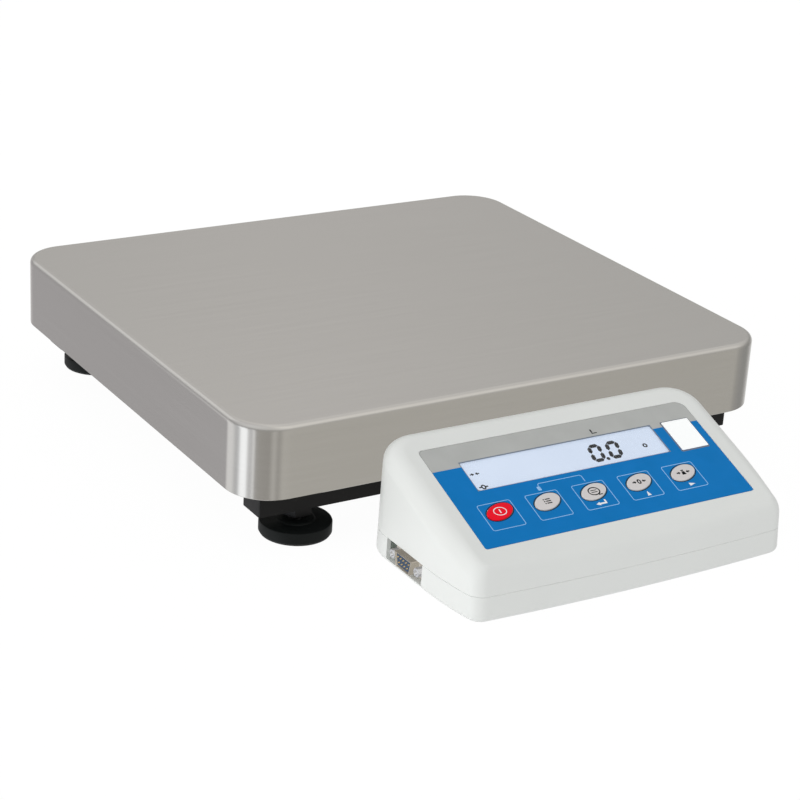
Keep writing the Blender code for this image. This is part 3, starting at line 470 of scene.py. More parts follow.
def brushed_steel():
    """Fine-ground stainless sheet. Its grain runs along the first coordinate of the brush map."""
    paint = Paint("brushed_stainless", Metallic=1.0, Anisotropic=0.85, Anisotropic_Rotation=0.25)
    along = paint.node("UVMap", uv_map="brush").outputs["UV"]

    def streaks(length, width, detail):
        mapped = paint.node("Mapping", {"Vector": along, "Scale": (1 / length, 1 / width, 1)})
        inputs = {"Vector": mapped.outputs["Vector"], "Scale": 1.0, "Detail": detail}
        return paint.node("TexNoise", inputs).outputs["Fac"]

    fine = streaks(0.040, 0.00035, 3)
    broad = streaks(0.160, 0.0040, 4)
    mixed = paint.mix_shares(fine, 0.6, broad, 0.4)
    steel = paint.blend(paint.spread(mixed, 0, 1), (0.426, 0.417, 0.400), (0.454, 0.445, 0.428))
    smudge = paint.cloud(7, 4, (0.35, 0.7))
    paint.colour(paint.math("MULTIPLY", smudge, 0.25), steel, (0.42, 0.41, 0.39))
    rough = paint.math("ADD", paint.spread(mixed, 0.19, 0.23), paint.math("MULTIPLY", smudge, 0.02))
    paint.set("Roughness", rough)
    tangent = paint.node("Tangent", direction_type="UV_MAP", uv_map="brush")
    paint.set("Tangent", tangent.outputs["Tangent"])
    paint.set("Normal", paint.bump(fine, 0.0000004))
    return paint.material


def printed_film():
    """Screen-printed polyester: a blue field under a grey band, with a faint woven texture."""
    paint = Paint("printed_film", Specular_IOR_Level=0.06)
    spot = paint.node("TexCoord").outputs["Object"]
    parts = paint.node("SeparateXYZ", {"Vector": spot}).outputs
    mottle = paint.cloud(60, 4)
    blue = paint.blend(mottle, (0.001, 0.190, 0.540), (0.003, 0.205, 0.590))
    grey = paint.blend(mottle, (0.485, 0.495, 0.485), (0.525, 0.535, 0.525))
    band = paint.math("GREATER_THAN", parts["Y"], GREY_FROM)
    past = []
    for part, middle, size in zip((parts["X"], parts["Y"]), WINDOW_AT, WINDOW_SIZE):
        away = paint.math("ABSOLUTE", paint.math("SUBTRACT", part, middle))
        past.append(paint.math("SUBTRACT", away, size / 2))
    edge = paint.math("LESS_THAN", paint.math("MAXIMUM", *past), FRAME_LINE)
    field = paint.blend(band, blue, grey)
    paint.colour(edge, field, (0.20, 0.24, 0.30))
    paint.roughen(90, 0.36, 0.46)
    paint.set("Normal", paint.bump(paint.cells(5200), 0.000004))
    return paint.material


def display_face():
    """The lit liquid crystal panel: cool white, slightly uneven, under a soft polariser."""
    paint = Paint("display_face", Specular_IOR_Level=0.1, Emission_Strength=0.48)
    glow = paint.blend(paint.cloud(16, 2), (0.50, 0.57, 0.69), (0.53, 0.60, 0.72))
    paint.set("Base Color", glow)
    paint.set("Emission Color", glow)
    paint.roughen(300, 0.25, 0.35, 2)
    return paint.material


def clear_window():
    paint = Paint("clear_window", Base_Color=(0.9, 0.93, 0.96), Specular_IOR_Level=0.25, Alpha=0.03)
    paint.roughen(500, 0.06, 0.16, 4)
    paint.set("Normal", paint.bump(paint.noise(40, detail=2), 0.00001))
    return paint.material


def vial_glass():
    """The level's vial: yellow-green spirit behind clear plastic."""
    paint = Paint("level_vial", IOR=1.49, Coat_Weight=1.0, Coat_Roughness=0.05)
    paint.colour(paint.cloud(300), (0.45, 0.62, 0.05), (0.6, 0.78, 0.1))
    paint.roughen(120, 0.08, 0.16)
    return paint.material


def circuit_board():
    """Solder mask over copper tracks, with tinned pads in a grid."""
    paint = Paint("circuit_board", Specular_IOR_Level=0.5)
    tracks = paint.node("TexBrick", {
        "Vector": paint.where(), "Scale": 260.0, "Mortar Size": 0.06,
        "Color1": (0.006, 0.10, 0.035), "Color2": (0.010, 0.13, 0.045), "Mortar": (0.02, 0.20, 0.075),
    })
    pads = paint.math("LESS_THAN", paint.cells(390), 0.16)
    paint.colour(pads, tracks.outputs["Color"], (0.55, 0.55, 0.52))
    paint.set("Metallic", paint.math("MULTIPLY", pads, 0.9))
    paint.roughen(200, 0.25, 0.4)
    paint.set("Normal", paint.bump(tracks.outputs["Fac"], 0.00003))
    return paint.material


MATERIALS = {  # by slot
    "stainless": brushed_steel(),
    "black_paint": painted("black_paint", (0.007, 0.007, 0.0075), 0.42),
    "blackened_steel": metal("blackened_steel", (0.022, 0.022, 0.023), 0.42, variation=0.25),
    "zinc_steel": metal("zinc_steel", (0.56, 0.57, 0.59), 0.3),
    "aluminium": metal("milled_aluminium", (0.62, 0.62, 0.63), 0.36, (1, 0.04, 1), 2200),
    "black_plastic": moulded(
        "black_plastic", (0.006, 0.0075, 0.0075), 0.5, 1800, 0.00002, 0.12, Specular_IOR_Level=0.12
    ),
    "rubber": moulded("rubber", (0.018, 0.018, 0.018), 0.8, 1400, 0.00003, 0.2),
    "shell_plastic": moulded("shell_plastic", (0.815, 0.835, 0.822), 0.42, 2600, 0.000008, 0.012),
    "panel_film": printed_film(),
    "red_key": moulded(
        "red_key", (0.96, 0.001, 0.018), 0.4, 3000, 0.000004, 0.04, Specular_IOR_Level=0.1
    ),
    "grey_key": moulded("grey_key", (0.71, 0.68, 0.68), 0.34, 3000, 0.000004, 0.03),
    "window": clear_window(),
    "display": display_face(),
    "light_guide": moulded("light_guide", (0.88, 0.90, 0.93), 0.25, 900, 0.00001, 0.02),
    "circuit_board": circuit_board(),
    # the tin plate's tone is darkened: painted shade of the notch that the connector sits in
    "connector_shell": metal("tin_plate_painted_shade", (0.46, 0.43, 0.38), 0.24, variation=0.2),
    "level_vial": vial_glass(),
    # the label paper glows faintly: painted light, as a paper sticker gives off none of its own
    "label": moulded(
        "label_paper_painted_glow", (0.97, 0.98, 0.97), 0.55, 1600, 0.000006, 0.01,
        Emission_Color=(0.9, 0.95, 1.0, 1.0), Emission_Strength=0.2
    ),
}


# Load plate


def plate_ring(inset, height, steps=20):
    width = PLATE_HIGH.x - PLATE_LOW.x - 2 * inset
    depth = PLATE_HIGH.y - PLATE_LOW.y - 2 * inset
    outline = rounded(width, depth, [PLATE_CORNER - inset] * 4, steps)
    return [(x, PLATFORM_Y + y, height) for x, y in outline]


def bent_edge(sheet_inset, turns):
    """(inset, height) over the plate's bent top edge, from the skirt to the flat top."""
    radius = PLATE_EDGE - sheet_inset
    found = []
    for turn in range(turns + 1):
        angle = math.pi / 2 * turn / turns
        height = PLATE_HIGH.z - PLATE_EDGE + radius * math.sin(angle)
        found.append((PLATE_EDGE - radius * math.cos(angle), height))
    return found


def plate_profile():
    low = PLATE_LOW.z
    inner = [(PLATE_SHEET, low + PLATE_HEM), *bent_edge(PLATE_SHEET, 5)]
    hem = [(PLATE_SHEET - PLATE_HEM, low), (PLATE_HEM, low)]
    skirt = [(0.0, low + PLATE_HEM), (0.0, low + 0.010), (0.0, PLATE_HIGH.z - PLATE_EDGE - 0.006)]
    return [*reversed(inner), *hem, *skirt, *bent_edge(0.0, 12)]


def map_brush_grain(bm):
    """Grain along x on the flat top and underside, and along the edge all round the skirts."""
    layer = bm.loops.layers.uv.new("brush")
    for face in bm.faces:
        flat = abs(face.normal.z) > 0.7
        sideways = abs(face.normal.x) > abs(face.normal.y)
        for loop in face.loops:
            spot = loop.vert.co
            along = abs(spot.y) if sideways else spot.x
            loop[layer].uv = (spot.x, spot.y) if flat else (along, spot.z)


def make_load_plate():
    bm = bmesh.new()
    add_loft(bm, [plate_ring(inset, height) for inset, height in plate_profile()])
    bmesh.ops.recalc_face_normals(bm, faces=bm.faces)
    map_brush_grain(bm)
    plate = make_object("load_plate_sheet", bm)
    keep_shading(plate)
    finish_piece(plate, "load_plate", "stainless", "load_plate")


# Terminal shells


def wall_lean(normal):
    """How far a wall leans inwards for each metre of height, for its outward direction."""
    x, y = normal
    return SIDE_LEAN * x * x + (FRONT_LEAN if y < 0 else SIDE_LEAN) * y * y


def outline_corners(steps=20):
    """For each corner, from the front left anticlockwise: its sides and its outward directions."""
    turns = (
        (-1, -1, math.pi + SIDE_TURN, 1.5 * math.pi - FRONT_TURN),
        (1, -1, 1.5 * math.pi + FRONT_TURN, 2 * math.pi - SIDE_TURN),
        (1, 1, 0.0, math.pi / 2),
        (-1, 1, math.pi / 2, math.pi),
    )
    found = []
    for side_x, side_y, start, end in turns:
        angles = [start + (end - start) * step / steps for step in range(steps + 1)]
        found.append((side_x, side_y, [(math.cos(angle), math.sin(angle)) for angle in angles]))
    return found


def corner_centre(side_x, side_y, height):
    """Centre of a vertical corner's arc, at a height above the bench."""
    rise = height - LEAN_DATUM
    half = TERMINAL_WIDTH / 2 - SIDE_LEAN * rise
    front, back = TERMINAL_CORNERS
    if side_y > 0:
        return TERMINAL_X + side_x * (half - back), TERMINAL_BACK - back - SIDE_LEAN * rise
    x = TERMINAL_X + side_x * (half - SIDE_CURVE - front * math.cos(SIDE_TURN))
    return x, TERMINAL_FRONT + FRONT_CURVE + front * math.cos(FRONT_TURN) + FRONT_LEAN * rise


def wall_bulges(wall, steps=24):
    """(share of the way along, outward shift) inside a wall: front, right, back or left."""
    found = []
    for step in range(1, steps):
        share = step / steps
        from_front = share if wall == 1 else 1 - share
        side = SIDE_CURVE * (1 - from_front - max(0.0, 1 - 2 * from_front) ** 2)
        bulge = (FRONT_CURVE * 4 * share * (1 - share), side, 0.0, side)[wall]
        found.append((share, bulge))
    return found


def wall_ring(height, inset):
    """The outline at a height: round corners, a bowed front, and sides that curve in forwards."""
    arcs = []
    for side_x, side_y, directions in outline_corners():
        x, y = corner_centre(side_x, side_y, height)
        radius = TERMINAL_CORNERS[side_y > 0] - inset
        arcs.append([Vector((x + radius * nx, y + radius * ny, height)) for nx, ny in directions])
    ring = []
    for wall, outward in enumerate(WALL_DIRECTIONS):
        start, end = arcs[wall][-1], arcs[(wall + 1) % 4][0]
        ring += arcs[wall]
        for share, bulge in wall_bulges(wall):
            ring.append(start.lerp(end, share) + bulge * Vector((*outward, 0)))
    return ring


def ring_normals():
    """The outward direction at each point of a wall ring."""
    normals = []
    for wall, (_, _, directions) in enumerate(outline_corners()):
        normals += directions
        normals += [WALL_DIRECTIONS[wall]] * len(wall_bulges(wall))
    return normals


def rim_half_angle(normal):
    """Half the angle between a wall and the panel, inside the terminal."""
    slope = PANEL_TILT if normal[1] < 0 else -PANEL_TILT
    return (math.pi / 2 + slope * normal[1] ** 2 + math.atan(wall_lean(normal))) / 2


def rim_reach(normal, radius=TERMINAL_RIM):
    """From the sharp edge to where a rim of this radius leaves the wall or the panel."""
    return radius / math.tan(rim_half_angle(normal))


def panel_end(side_y):
    """v on the panel where the rim of the front or back wall reaches it."""
    wall = (TERMINAL_FRONT, TERMINAL_BACK)[side_y > 0]
    lean = (FRONT_LEAN, -SIDE_LEAN)[side_y > 0]
    slope = math.tan(PANEL_TILT)
    y = (wall + lean * (PANEL_HEIGHT - LEAN_DATUM - PANEL_Y * slope)) / (1 - lean * slope)
    return (y - PANEL_Y) / math.cos(PANEL_TILT) - side_y * rim_reach((0, side_y))


def panel_ring():
    """The flat panel's outline, in world coordinates, point for point with a wall ring."""
    half = TERMINAL_WIDTH / 2 - SIDE_LEAN * (PANEL_HEIGHT - LEAN_DATUM) - rim_reach((1, 0))
    arcs = []
    for corner, (side_x, side_y, directions) in enumerate(outline_corners()):
        radius = PANEL_CORNERS[side_y > 0]
        u, v = side_x * (half - radius), panel_end(side_y) - side_y * radius
        start = 180 + 90 * corner
        points = arc(radius, start, start + 90, len(directions) - 1, (u, v))
        arcs.append([Vector((*point, 0)) for point in points])
    ring = []
    for wall, points in enumerate(arcs):
        following = arcs[(wall + 1) % 4][0]
        ring += points
        ring += [points[-1].lerp(following, share) for share, _ in wall_bulges(wall)]
    return [PANEL @ point for point in ring]


def rim_rings(inset, turns):
    """Rings over the rounded top edge, from the wall to the panel plane."""
    floor, above = wall_ring(0.0, inset), wall_ring(1.0, inset)
    slope = math.tan(PANEL_TILT)
    plane = PANEL_HEIGHT - PANEL_Y * slope - inset / math.cos(PANEL_TILT)
    rings = [[] for _ in range(turns + 1)]
    for low, high, normal, target in zip(floor, above, ring_normals(), panel_ring()):
        height = (plane + low.y * slope) / (1 - (high.y - low.y) * slope)
        edge = low.lerp(high, height)
        start = edge - (high - low).normalized() * rim_reach(normal, TERMINAL_RIM - inset)
        end = target - inset * PANEL_NORMAL
        weight = math.sin(rim_half_angle(normal))
        for turn, ring in enumerate(rings):
            share = turn / turns
            parts = ((1 - share) ** 2, 2 * weight * share * (1 - share), share ** 2)
            ring.append((parts[0] * start + parts[1] * edge + parts[2] * end) / sum(parts))
    return rings


def base_rings(inset, turns):
    """Rings up the rounded bottom edge, from the flat bottom to the wall."""
    radius = BASE_EDGE - inset
    rings = []
    for turn in range(turns + 1):
        angle = math.pi / 2 * turn / turns
        height = LEAN_DATUM - radius * math.cos(angle)
        ring = wall_ring(LEAN_DATUM, BASE_EDGE - radius * math.sin(angle))
        rings.append([(point.x, point.y, height) for point in ring])
    return rings


def film_outline(margin):
    width, depth = (size + 2 * margin for size in FILM_SIZE)
    return rounded(width, depth, FILM_CORNERS, 8)


def make_upper_shell():
    low = PARTING + PARTING_GAP / 2
    lip = [wall_ring(low, PARTING_ROUND), wall_ring(low + PARTING_ROUND, 0.0)]
    inner = [wall_ring(low, TERMINAL_WALL), *rim_rings(TERMINAL_WALL, 6)]
    bm = bmesh.new()
    add_loft(bm, [*reversed(inner), *lip, *rim_rings(0.0, 16)])
    shell = make_object("terminal_cover", bm)
    cut_prisms(shell, [film_outline(GAP)], -FILM_RECESS, REACH, PANEL)
    module_span = [size + 2 * GAP for size in MODULE_SIZE]
    key_span = (KEY_PITCH * 4 + 0.016, 0.014)
    openings = [rectangle(*module_span, WINDOW_AT), rectangle(*key_span, (KEY_US[2], KEY_ROW))]
    cut_prisms(shell, openings, -REACH, REACH / 2, PANEL)
    cut_bores(shell, ["terminal_gland"], 0.0063, 32)
    keep_shading(shell)
    finish_piece(shell, BASE, "shell_plastic", "terminal_upper_shell")


def make_lower_shell():
    high = PARTING - PARTING_GAP / 2
    lip = [wall_ring(high - PARTING_ROUND, 0.0), wall_ring(high, PARTING_ROUND)]
    for inset, height in ((TONGUE[0], 0.0), (TONGUE[0], 0.9), (TONGUE[1], 0.9), (TONGUE[1], 0.0)):
        lip.append(wall_ring(high + height * PARTING_GAP, inset))
    inner = [*base_rings(TERMINAL_WALL, 2), wall_ring(high, TERMINAL_WALL)]
    bm = bmesh.new()
    add_loft(bm, [*base_rings(0.0, 8), *lip, *reversed(inner)])
    shell = make_object("terminal_base", bm)
    low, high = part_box("serial_connector")
    notch = rectangle(*SERIAL_NOTCH, (SHELL_LOW.x - 0.002, (low.y + high.y) / 2 + SERIAL_NOTCH_SHIFT))
    cut_prisms(shell, [notch], low.z - 0.0005, PARTING + REACH)
    low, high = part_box("power_inlet")
    room = GAP + INLET_ROOM
    middle = (low + high) / 2
    inlet = rectangle(high.x - low.x + 2 * GAP, high.y - low.y + 2 * room, middle[:2])
    cut_prisms(shell, [inlet], low.z - room, high.z + room)
    cut_bores(shell, ["bracket_shell_screw_left", "bracket_shell_screw_right"], 0.0023, 20)
    keep_shading(shell)
    finish_piece(shell, BASE, "shell_plastic", "terminal_lower_shell")


# Printed panel, display and keys


def make_film():
    film = make_prism("printed_panel", film_outline(0.0), -FILM_SHEET, 0.0, PANEL)
    holes = [rounded(*WINDOW_SIZE, [0.0015] * 4, 6, WINDOW_AT)]
    holes += [key_outline(GAP, (u, KEY_ROW)) for u in KEY_US]
    cut_prisms(film, holes, -REACH, REACH, PANEL)
    soften_edges(film, 0.0001)
    finish_piece(film, BASE, "panel_film", "panel_overlay")


def key_outline(margin, middle=(0.0, 0.0)):
    return ellipse(KEY_SEMI[0] + margin, KEY_SEMI[1] + margin, KEY_STEPS, KEY_SLANT, middle)


def key_slot(name):
    return "red_key" if name == "key_power" else "grey_key"


def make_keys():
    """Each key is one piece from its plunger to a flat cap with a rounded rim."""
    stem = ellipse(0.003, 0.003, KEY_STEPS, KEY_SLANT)
    outlines = [(stem, KEY_BOTTOM), (stem, -GAP)]
    cap = (
        (0.0, -GAP), (0.0, 0.00022), (0.00005, 0.00034), (0.00015, 0.00044), (0.0003, 0.00049),
        (0.0006, KEY_TOP),
    )
    outlines += [(key_outline(-inset), w) for inset, w in cap]
    for name, u in zip(KEY_NAMES, KEY_US):
        bm = bmesh.new()
        add_loft(bm, [[(x, y, w) for x, y in outline] for outline, w in outlines])
        piece = make_object(name + "_cap", bm, PANEL @ at(u, KEY_ROW), 50)
        finish_piece(piece, name, key_slot(name), name)


def add_arc_stroke(bm, radius, start, end, width, middle):
    outer = arc(radius + width / 2, start, end, 24, middle)
    inner = arc(radius - width / 2, start, end, 24, middle)
    add_flat(bm, [*outer, *reversed(inner)])


def add_arrow(bm, tip, direction, length, span, head=0.0015):
    """A small solid arrow that points along u. direction is 1 to the right, -1 to the left."""
    u, v = tip
    back = u - direction * head
    triangle = [(u, v), (back, v + direction * head * 0.7), (back, v - direction * head * 0.7)]
    add_flat(bm, triangle, span)
    add_bar(bm, (u - direction * length, v), (back, v), 0.0008, span)


def add_oval(bm, semi, stroke, span, middle=(0.0, 0.0)):
    outer = ellipse(semi[0], semi[1], 40, 0.0, middle)
    inner = ellipse(semi[0] - stroke, semi[1] - stroke, 40, 0.0, middle)
    add_ring(bm, outer, inner, span)


def power_icon(bm, span):
    add_oval(bm, (0.0041, 0.0031), 0.0005, span)
    add_bar(bm, (0, -0.0014), (0, 0.0014), 0.0007, span)


def list_icon(bm, span):
    for v in (-0.0015, 0.0, 0.0015):
        add_bar(bm, (-0.0010, v), (0.0022, v), 0.0007, span)
        add_flat(bm, circle(0.00045, 12, (-0.0019, v)), span)


def print_icon(bm, span):
    """A round ticket with two printed lines, and its torn corner."""
    add_oval(bm, (0.0039, 0.0031), 0.0007, span)
    for v in (-0.0007, 0.0007):
        add_bar(bm, (-0.0020, v), (0.0020, v), 0.0005, span)
    add_bar(bm, (0.0016, -0.0030), (0.0042, -0.0030), 0.0007, span)


def add_two_arrows(bm, span):
    """Arrows from the left and the right that point at what is between them."""
    for direction in (1, -1):
        add_arrow(bm, (-0.0018 * direction, 0), direction, 0.0027, span)


def zero_icon(bm, span):
    add_oval(bm, (0.0013, 0.0018), 0.0008, span)
    add_two_arrows(bm, span)


def tare_icon(bm, span):
    """A little weight with its knob, between two arrows."""
    weight = [(-0.0014, -0.0018), (0.0014, -0.0018), (0.0008, 0.0007), (-0.0008, 0.0007)]
    add_flat(bm, weight, span)
    add_bar(bm, (-0.0009, 0.0015), (0.0009, 0.0015), 0.0008, span)
    add_two_arrows(bm, span)


def make_key_icons(dark, light):
    icons = (power_icon, list_icon, print_icon, zero_icon, tare_icon)
    for name, u, draw in zip(KEY_NAMES, KEY_US, icons):
        bm = bmesh.new()
        draw(bm, (KEY_TOP - HAIR, KEY_TOP + HAIR))
        ink = light if name == "key_power" else dark
        icon = make_object(name + "_icon", bm, PANEL @ at(u, KEY_ROW))
        finish_piece(icon, name, key_slot(name), material=ink)


def make_frames(ink):
    """The thin rounded line round each key, and the bracket over the second and third."""
    bm = bmesh.new()
    inner_size = [size - 2 * FRAME_LINE for size in KEY_FRAME]
    for u in KEY_US:
        middle = (u - 0.0004, -0.0178)
        outer = rounded(*KEY_FRAME, [KEY_FRAME_CORNER] * 4, 6, middle)
        inner = rounded(*inner_size, [KEY_FRAME_CORNER - FRAME_LINE] * 4, 6, middle)
        add_ring(bm, outer, inner)
    left, right, top, turn = -0.0358, -0.0066, -0.0014, 0.0014
    add_bar(bm, (left + turn, top), (right - turn, top), FRAME_LINE)
    add_bar(bm, (left, top - turn), (left, top - 0.0040), FRAME_LINE)
    add_bar(bm, (right, top - turn), (right, top - 0.0052), FRAME_LINE)
    add_arc_stroke(bm, turn, 90, 180, FRAME_LINE, (left + turn, top - turn))
    add_arc_stroke(bm, turn, 0, 90, FRAME_LINE, (right - turn, top - turn))
    add_flat(bm, rounded(0.0022, 0.0030, [0.0004] * 4, 3, (left - 0.0006, top - 0.0036)))
    finish_print("panel_key_frames", bm, ink)


def make_key_borders(ink):
    """The dark line printed round each key's hole."""
    bm = bmesh.new()
    for u in KEY_US:
        inner, outer = (key_outline(GAP + width, (u, KEY_ROW)) for width in (0.00005, 0.00055))
        add_ring(bm, outer, inner)
    finish_print("panel_key_borders", bm, ink)


def make_panel_symbols(ink):
    """White signs under the keys: enter, up and right."""
    bm = bmesh.new()
    v = -0.0245
    enter, up, right = -0.0103, 0.0252, 0.0540
    add_flat(bm, [(enter, v), (enter + 0.0026, v - 0.0013), (enter + 0.0026, v + 0.0013)])
    add_bar(bm, (enter + 0.0026, v), (enter + 0.0072, v), 0.0011)
    add_bar(bm, (enter + 0.0067, v + 0.0005), (enter + 0.0067, v + 0.0024), 0.0010)
    add_flat(bm, [(up - 0.0013, v - 0.0016), (up + 0.0013, v - 0.0016), (up, v + 0.0018)])
    add_flat(bm, [(right, v - 0.0012), (right + 0.0040, v), (right, v + 0.0012)])
    finish_print("panel_signs", bm, ink)


def make_panel_tick(ink):
    """The small mark over the window, above the reading."""
    bm = bmesh.new()
    add_flat(bm, rectangle(0.0009, 0.0026, (0.0196, 0.0288)))
    add_bar(bm, (0.0190, 0.0269), (0.0226, 0.0269), 0.0006)
    finish_print("panel_tick", bm, ink)


def add_segment(bm, start, end, width, lean, span):
    """One bar of a seven-segment digit, with pointed ends, leaning to the right."""
    start, end = Vector(start), Vector(end)
    along = (end - start).normalized()
    across = along.orthogonal() * width / 2
    nip = along * width / 2
    outline = [
        start, start + nip - across, end - nip - across, end, end - nip + across, start + nip + across
    ]
    add_flat(bm, [(x + lean * y, y) for x, y in (tuple(point) for point in outline)], span)


def add_zero(bm, left, bottom, width, height, stroke, span):
    """A seven-segment zero: every bar but the middle one."""
    lean = 0.19
    x0, x1 = left + stroke / 2 - lean * bottom, left + width - stroke / 2 - lean * bottom
    y0, y1 = bottom + stroke / 2, bottom + height - stroke / 2
    middle = (y0 + y1) / 2
    slit = stroke * 0.07
    for x in (x0, x1):
        add_segment(bm, (x, y0 + slit), (x, middle - slit), stroke, lean, span)
        add_segment(bm, (x, middle + slit), (x, y1 - slit), stroke, lean, span)
    for y in (y0, y1):
        add_segment(bm, (x0 + slit, y), (x1 - slit, y), stroke, lean, span)


def make_display(ink):
    top = -FILM_RECESS
    outline = rectangle(*MODULE_SIZE, WINDOW_AT)
    module = make_prism("display_panel", outline, top - MODULE_DEPTH, top, PANEL)
    soften_edges(module, 0.00015)
    finish_piece(module, BASE, "display", "display_module")
    span = (top - 0.0002, top + 0.00002)
    digits = bmesh.new()
    for left in (0.0077, 0.0198):
        add_zero(digits, left, 0.0056, 0.0091, 0.0138, 0.0026, span)
    add_flat(digits, circle(0.0012, 20, (0.0182, 0.0068)), span)
    finish_print("display_digits", digits, ink, "display")
    marks = bmesh.new()
    for direction in (1, -1):
        add_arrow(marks, (-0.0666 - 0.0002 * direction, 0.0151), direction, 0.0028, span, 0.0016)
    add_oval(marks, (0.0015, 0.0018), 0.0009, span, (-0.0666, 0.0048))
    for left in (-0.0695, -0.0651):
        add_bar(marks, (left, 0.0048), (left + 0.0014, 0.0048), 0.0009, span)
    add_oval(marks, (0.0016, 0.0016), 0.0009, span, (0.0465, 0.0110))
    finish_print("display_marks", marks, ink, "display")
    outline = rounded(*[size - 2 * GAP for size in WINDOW_SIZE], [0.0013] * 4, 6, WINDOW_AT)
    window = make_prism("display_lens", outline, -FILM_SHEET, 0.0, PANEL)
    soften_edges(window, 0.00012)
    finish_piece(window, BASE, "window", "display_window")


def make_sticker(ink):
    outline = rounded(*STICKER_SIZE, [0.0006] * 4, 4, STICKER_AT)
    sticker = make_prism("seal_label", outline, GAP, GAP + 0.00015, PANEL)
    soften_edges(sticker, 0.00005)
    finish_piece(sticker, BASE, "label", "seal_sticker")
    border = bmesh.new()
    outer = rounded(STICKER_SIZE[0] + 0.0014, STICKER_SIZE[1] + 0.0016, [0.001] * 4, 4, STICKER_AT)
    inner = rounded(STICKER_SIZE[0] - 0.0002, STICKER_SIZE[1] - 0.0002, [0.0005] * 4, 4, STICKER_AT)
    add_ring(border, outer, inner)
    finish_print("seal_outline", border, ink)


# Serial connector


def make_connector_insert(blue, gold):
    """The blue insulator and its nine pins, in a frame with x across, y up and z out to the left."""
    low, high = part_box("serial_connector")
    turn = Matrix.Rotation(-math.pi / 2, 4, "Z") @ Matrix.Rotation(math.pi / 2, 4, "X")
    place = at(low.x, (low.y + high.y) / 2, SERIAL_HEIGHT) @ turn
    wide, narrow, half = 0.00775, 0.00635, 0.0036
    outline = [(-narrow, -half), (narrow, -half), (wide, half), (-wide, half)]
    insert = make_prism("serial_insert", outline, -0.0022, -0.0010, place)
    soften_edges(insert, 0.0003)
    finish_piece(insert, BASE, "connector_shell", material=blue)
    pins = bmesh.new()
    profile = [(0.00038, -0.0012), (0.00038, -0.0004), (0.0002, -0.0001)]
    for count, v in ((5, 0.00142), (4, -0.00142)):
        for number in range(count):
            add_turned(pins, profile, 14, at((number - (count - 1) / 2) * 0.00277, v))
    finish_piece(make_object("serial_pins", pins, place), BASE, "connector_shell", material=gold)


# Feet


def make_foot(corner):
    node = "foot_disc_" + corner
    low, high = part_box(node)
    x, y = (low.x + high.x) / 2, (low.y + high.y) / 2
    r, h, bore = FOOT_RADIUS, DISC_HEIGHT, THREAD_RADIUS + GAP
    body = [
        (r - 0.0014, 0.0012), (r - 0.0004, 0.0012), (r, 0.0016), (r, h - 0.0011),
        (r - 0.0003, h - 0.0004), (r - 0.0011, h), (0.0125, h), (0.0112, h + 0.0003),
        (0.0106, h + 0.0010), (0.0096, high.z), (bore, high.z), (bore, 0.0037),
    ]
    disc = make_turned("foot_" + corner, body, DISC_STEPS, at(x, y))
    finish_piece(disc, node, "black_plastic", node)
    sole = [(r - 0.0018, 0.0), (r - 0.0008, 0.0003), (r - 0.0006, 0.0014), (r - 0.0018, 0.0014)]
    pad = make_turned("foot_sole_" + corner, sole, DISC_STEPS, at(x, y))
    finish_piece(pad, node, "rubber")
    make_stud(corner, x, y)


def make_stud(corner, x, y):
    """The foot's stud with its screw thread, as rings whose radius follows the helix."""
    node = "foot_stud_" + corner
    low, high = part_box(node)
    steps, rows_per_turn, chamfer = 24, 6, 0.001
    length = high.z - low.z - 2 * chamfer
    rows = round(length / THREAD_PITCH * rows_per_turn)
    rings = [[(px, py, low.z) for px, py in circle(THREAD_RADIUS - THREAD_DEPTH, steps)]]
    for row in range(rows + 1):
        z = low.z + chamfer + length * row / rows
        ring = []
        for step in range(steps):
            turn = (z / THREAD_PITCH - step / steps) % 1.0
            radius = THREAD_RADIUS - THREAD_DEPTH * abs(2 * turn - 1)
            angle = 2 * math.pi * step / steps
            ring.append((radius * math.cos(angle), radius * math.sin(angle), z))
        rings.append(ring)
    rings.append([(px, py, high.z) for px, py in circle(THREAD_RADIUS - chamfer, steps)])
    bm = bmesh.new()
    add_loft(bm, rings)
    stud = make_object("foot_thread_" + corner, bm, at(x, y), 60)
    finish_piece(stud, node, "blackened_steel", node)


# Everything kept from the CAD


def finish_cad_nodes():
    slots = {part["node"]: part["material_slot"] for part in frame["record"]["subparts"]}
    for name, obj in frame["nodes"].items():
        if obj.hide_render:
            continue
        obj.data.materials.clear()
        obj.data.materials.append(MATERIALS[slots[name]])
        obj.data.shade_smooth()
        weld = obj.modifiers.new("weld", "WELD")
        weld.merge_threshold = 0.00001
        soften_edges(obj, 0.0003, 32)


def keep_out_of_reflections():
    """The plate mirrors the studio only, and not the terminal close in front of it."""
    for obj in bpy.context.scene.objects:
        if obj.type != "MESH":
            continue
        back = max((obj.matrix_world @ Vector(corner)).y for corner in obj.bound_box)
        if back < PLATE_LOW.y + 0.001:
            obj.visible_glossy = False


# Studio


def make_floor():
    floor = make_prism("studio_floor", rectangle(8, 8), -0.02, -0.0002)
    material = bpy.data.materials.new("studio_floor")
    material.use_nodes = True
    tree = material.node_tree
    tree.nodes.remove(tree.nodes["Principled BSDF"])
    seen = add_node(tree, "LightPath").outputs["Is Camera Ray"]
    strength = add_range(tree, seen, 0.0, 1.0, 0.80, 1.02)
    glow = add_node(tree, "Emission", {"Color": (1, 1, 1), "Strength": strength})
    matt = add_node(tree, "BsdfDiffuse", {"Color": (0.9, 0.9, 0.9)})
    mixed = add_node(tree, "MixShader", {0: 0.05, 1: glow.outputs[0], 2: matt.outputs[0]})
    tree.links.new(mixed.outputs[0], tree.nodes["Material Output"].inputs["Surface"])
    floor.data.materials.append(material)
    floor.visible_glossy = False


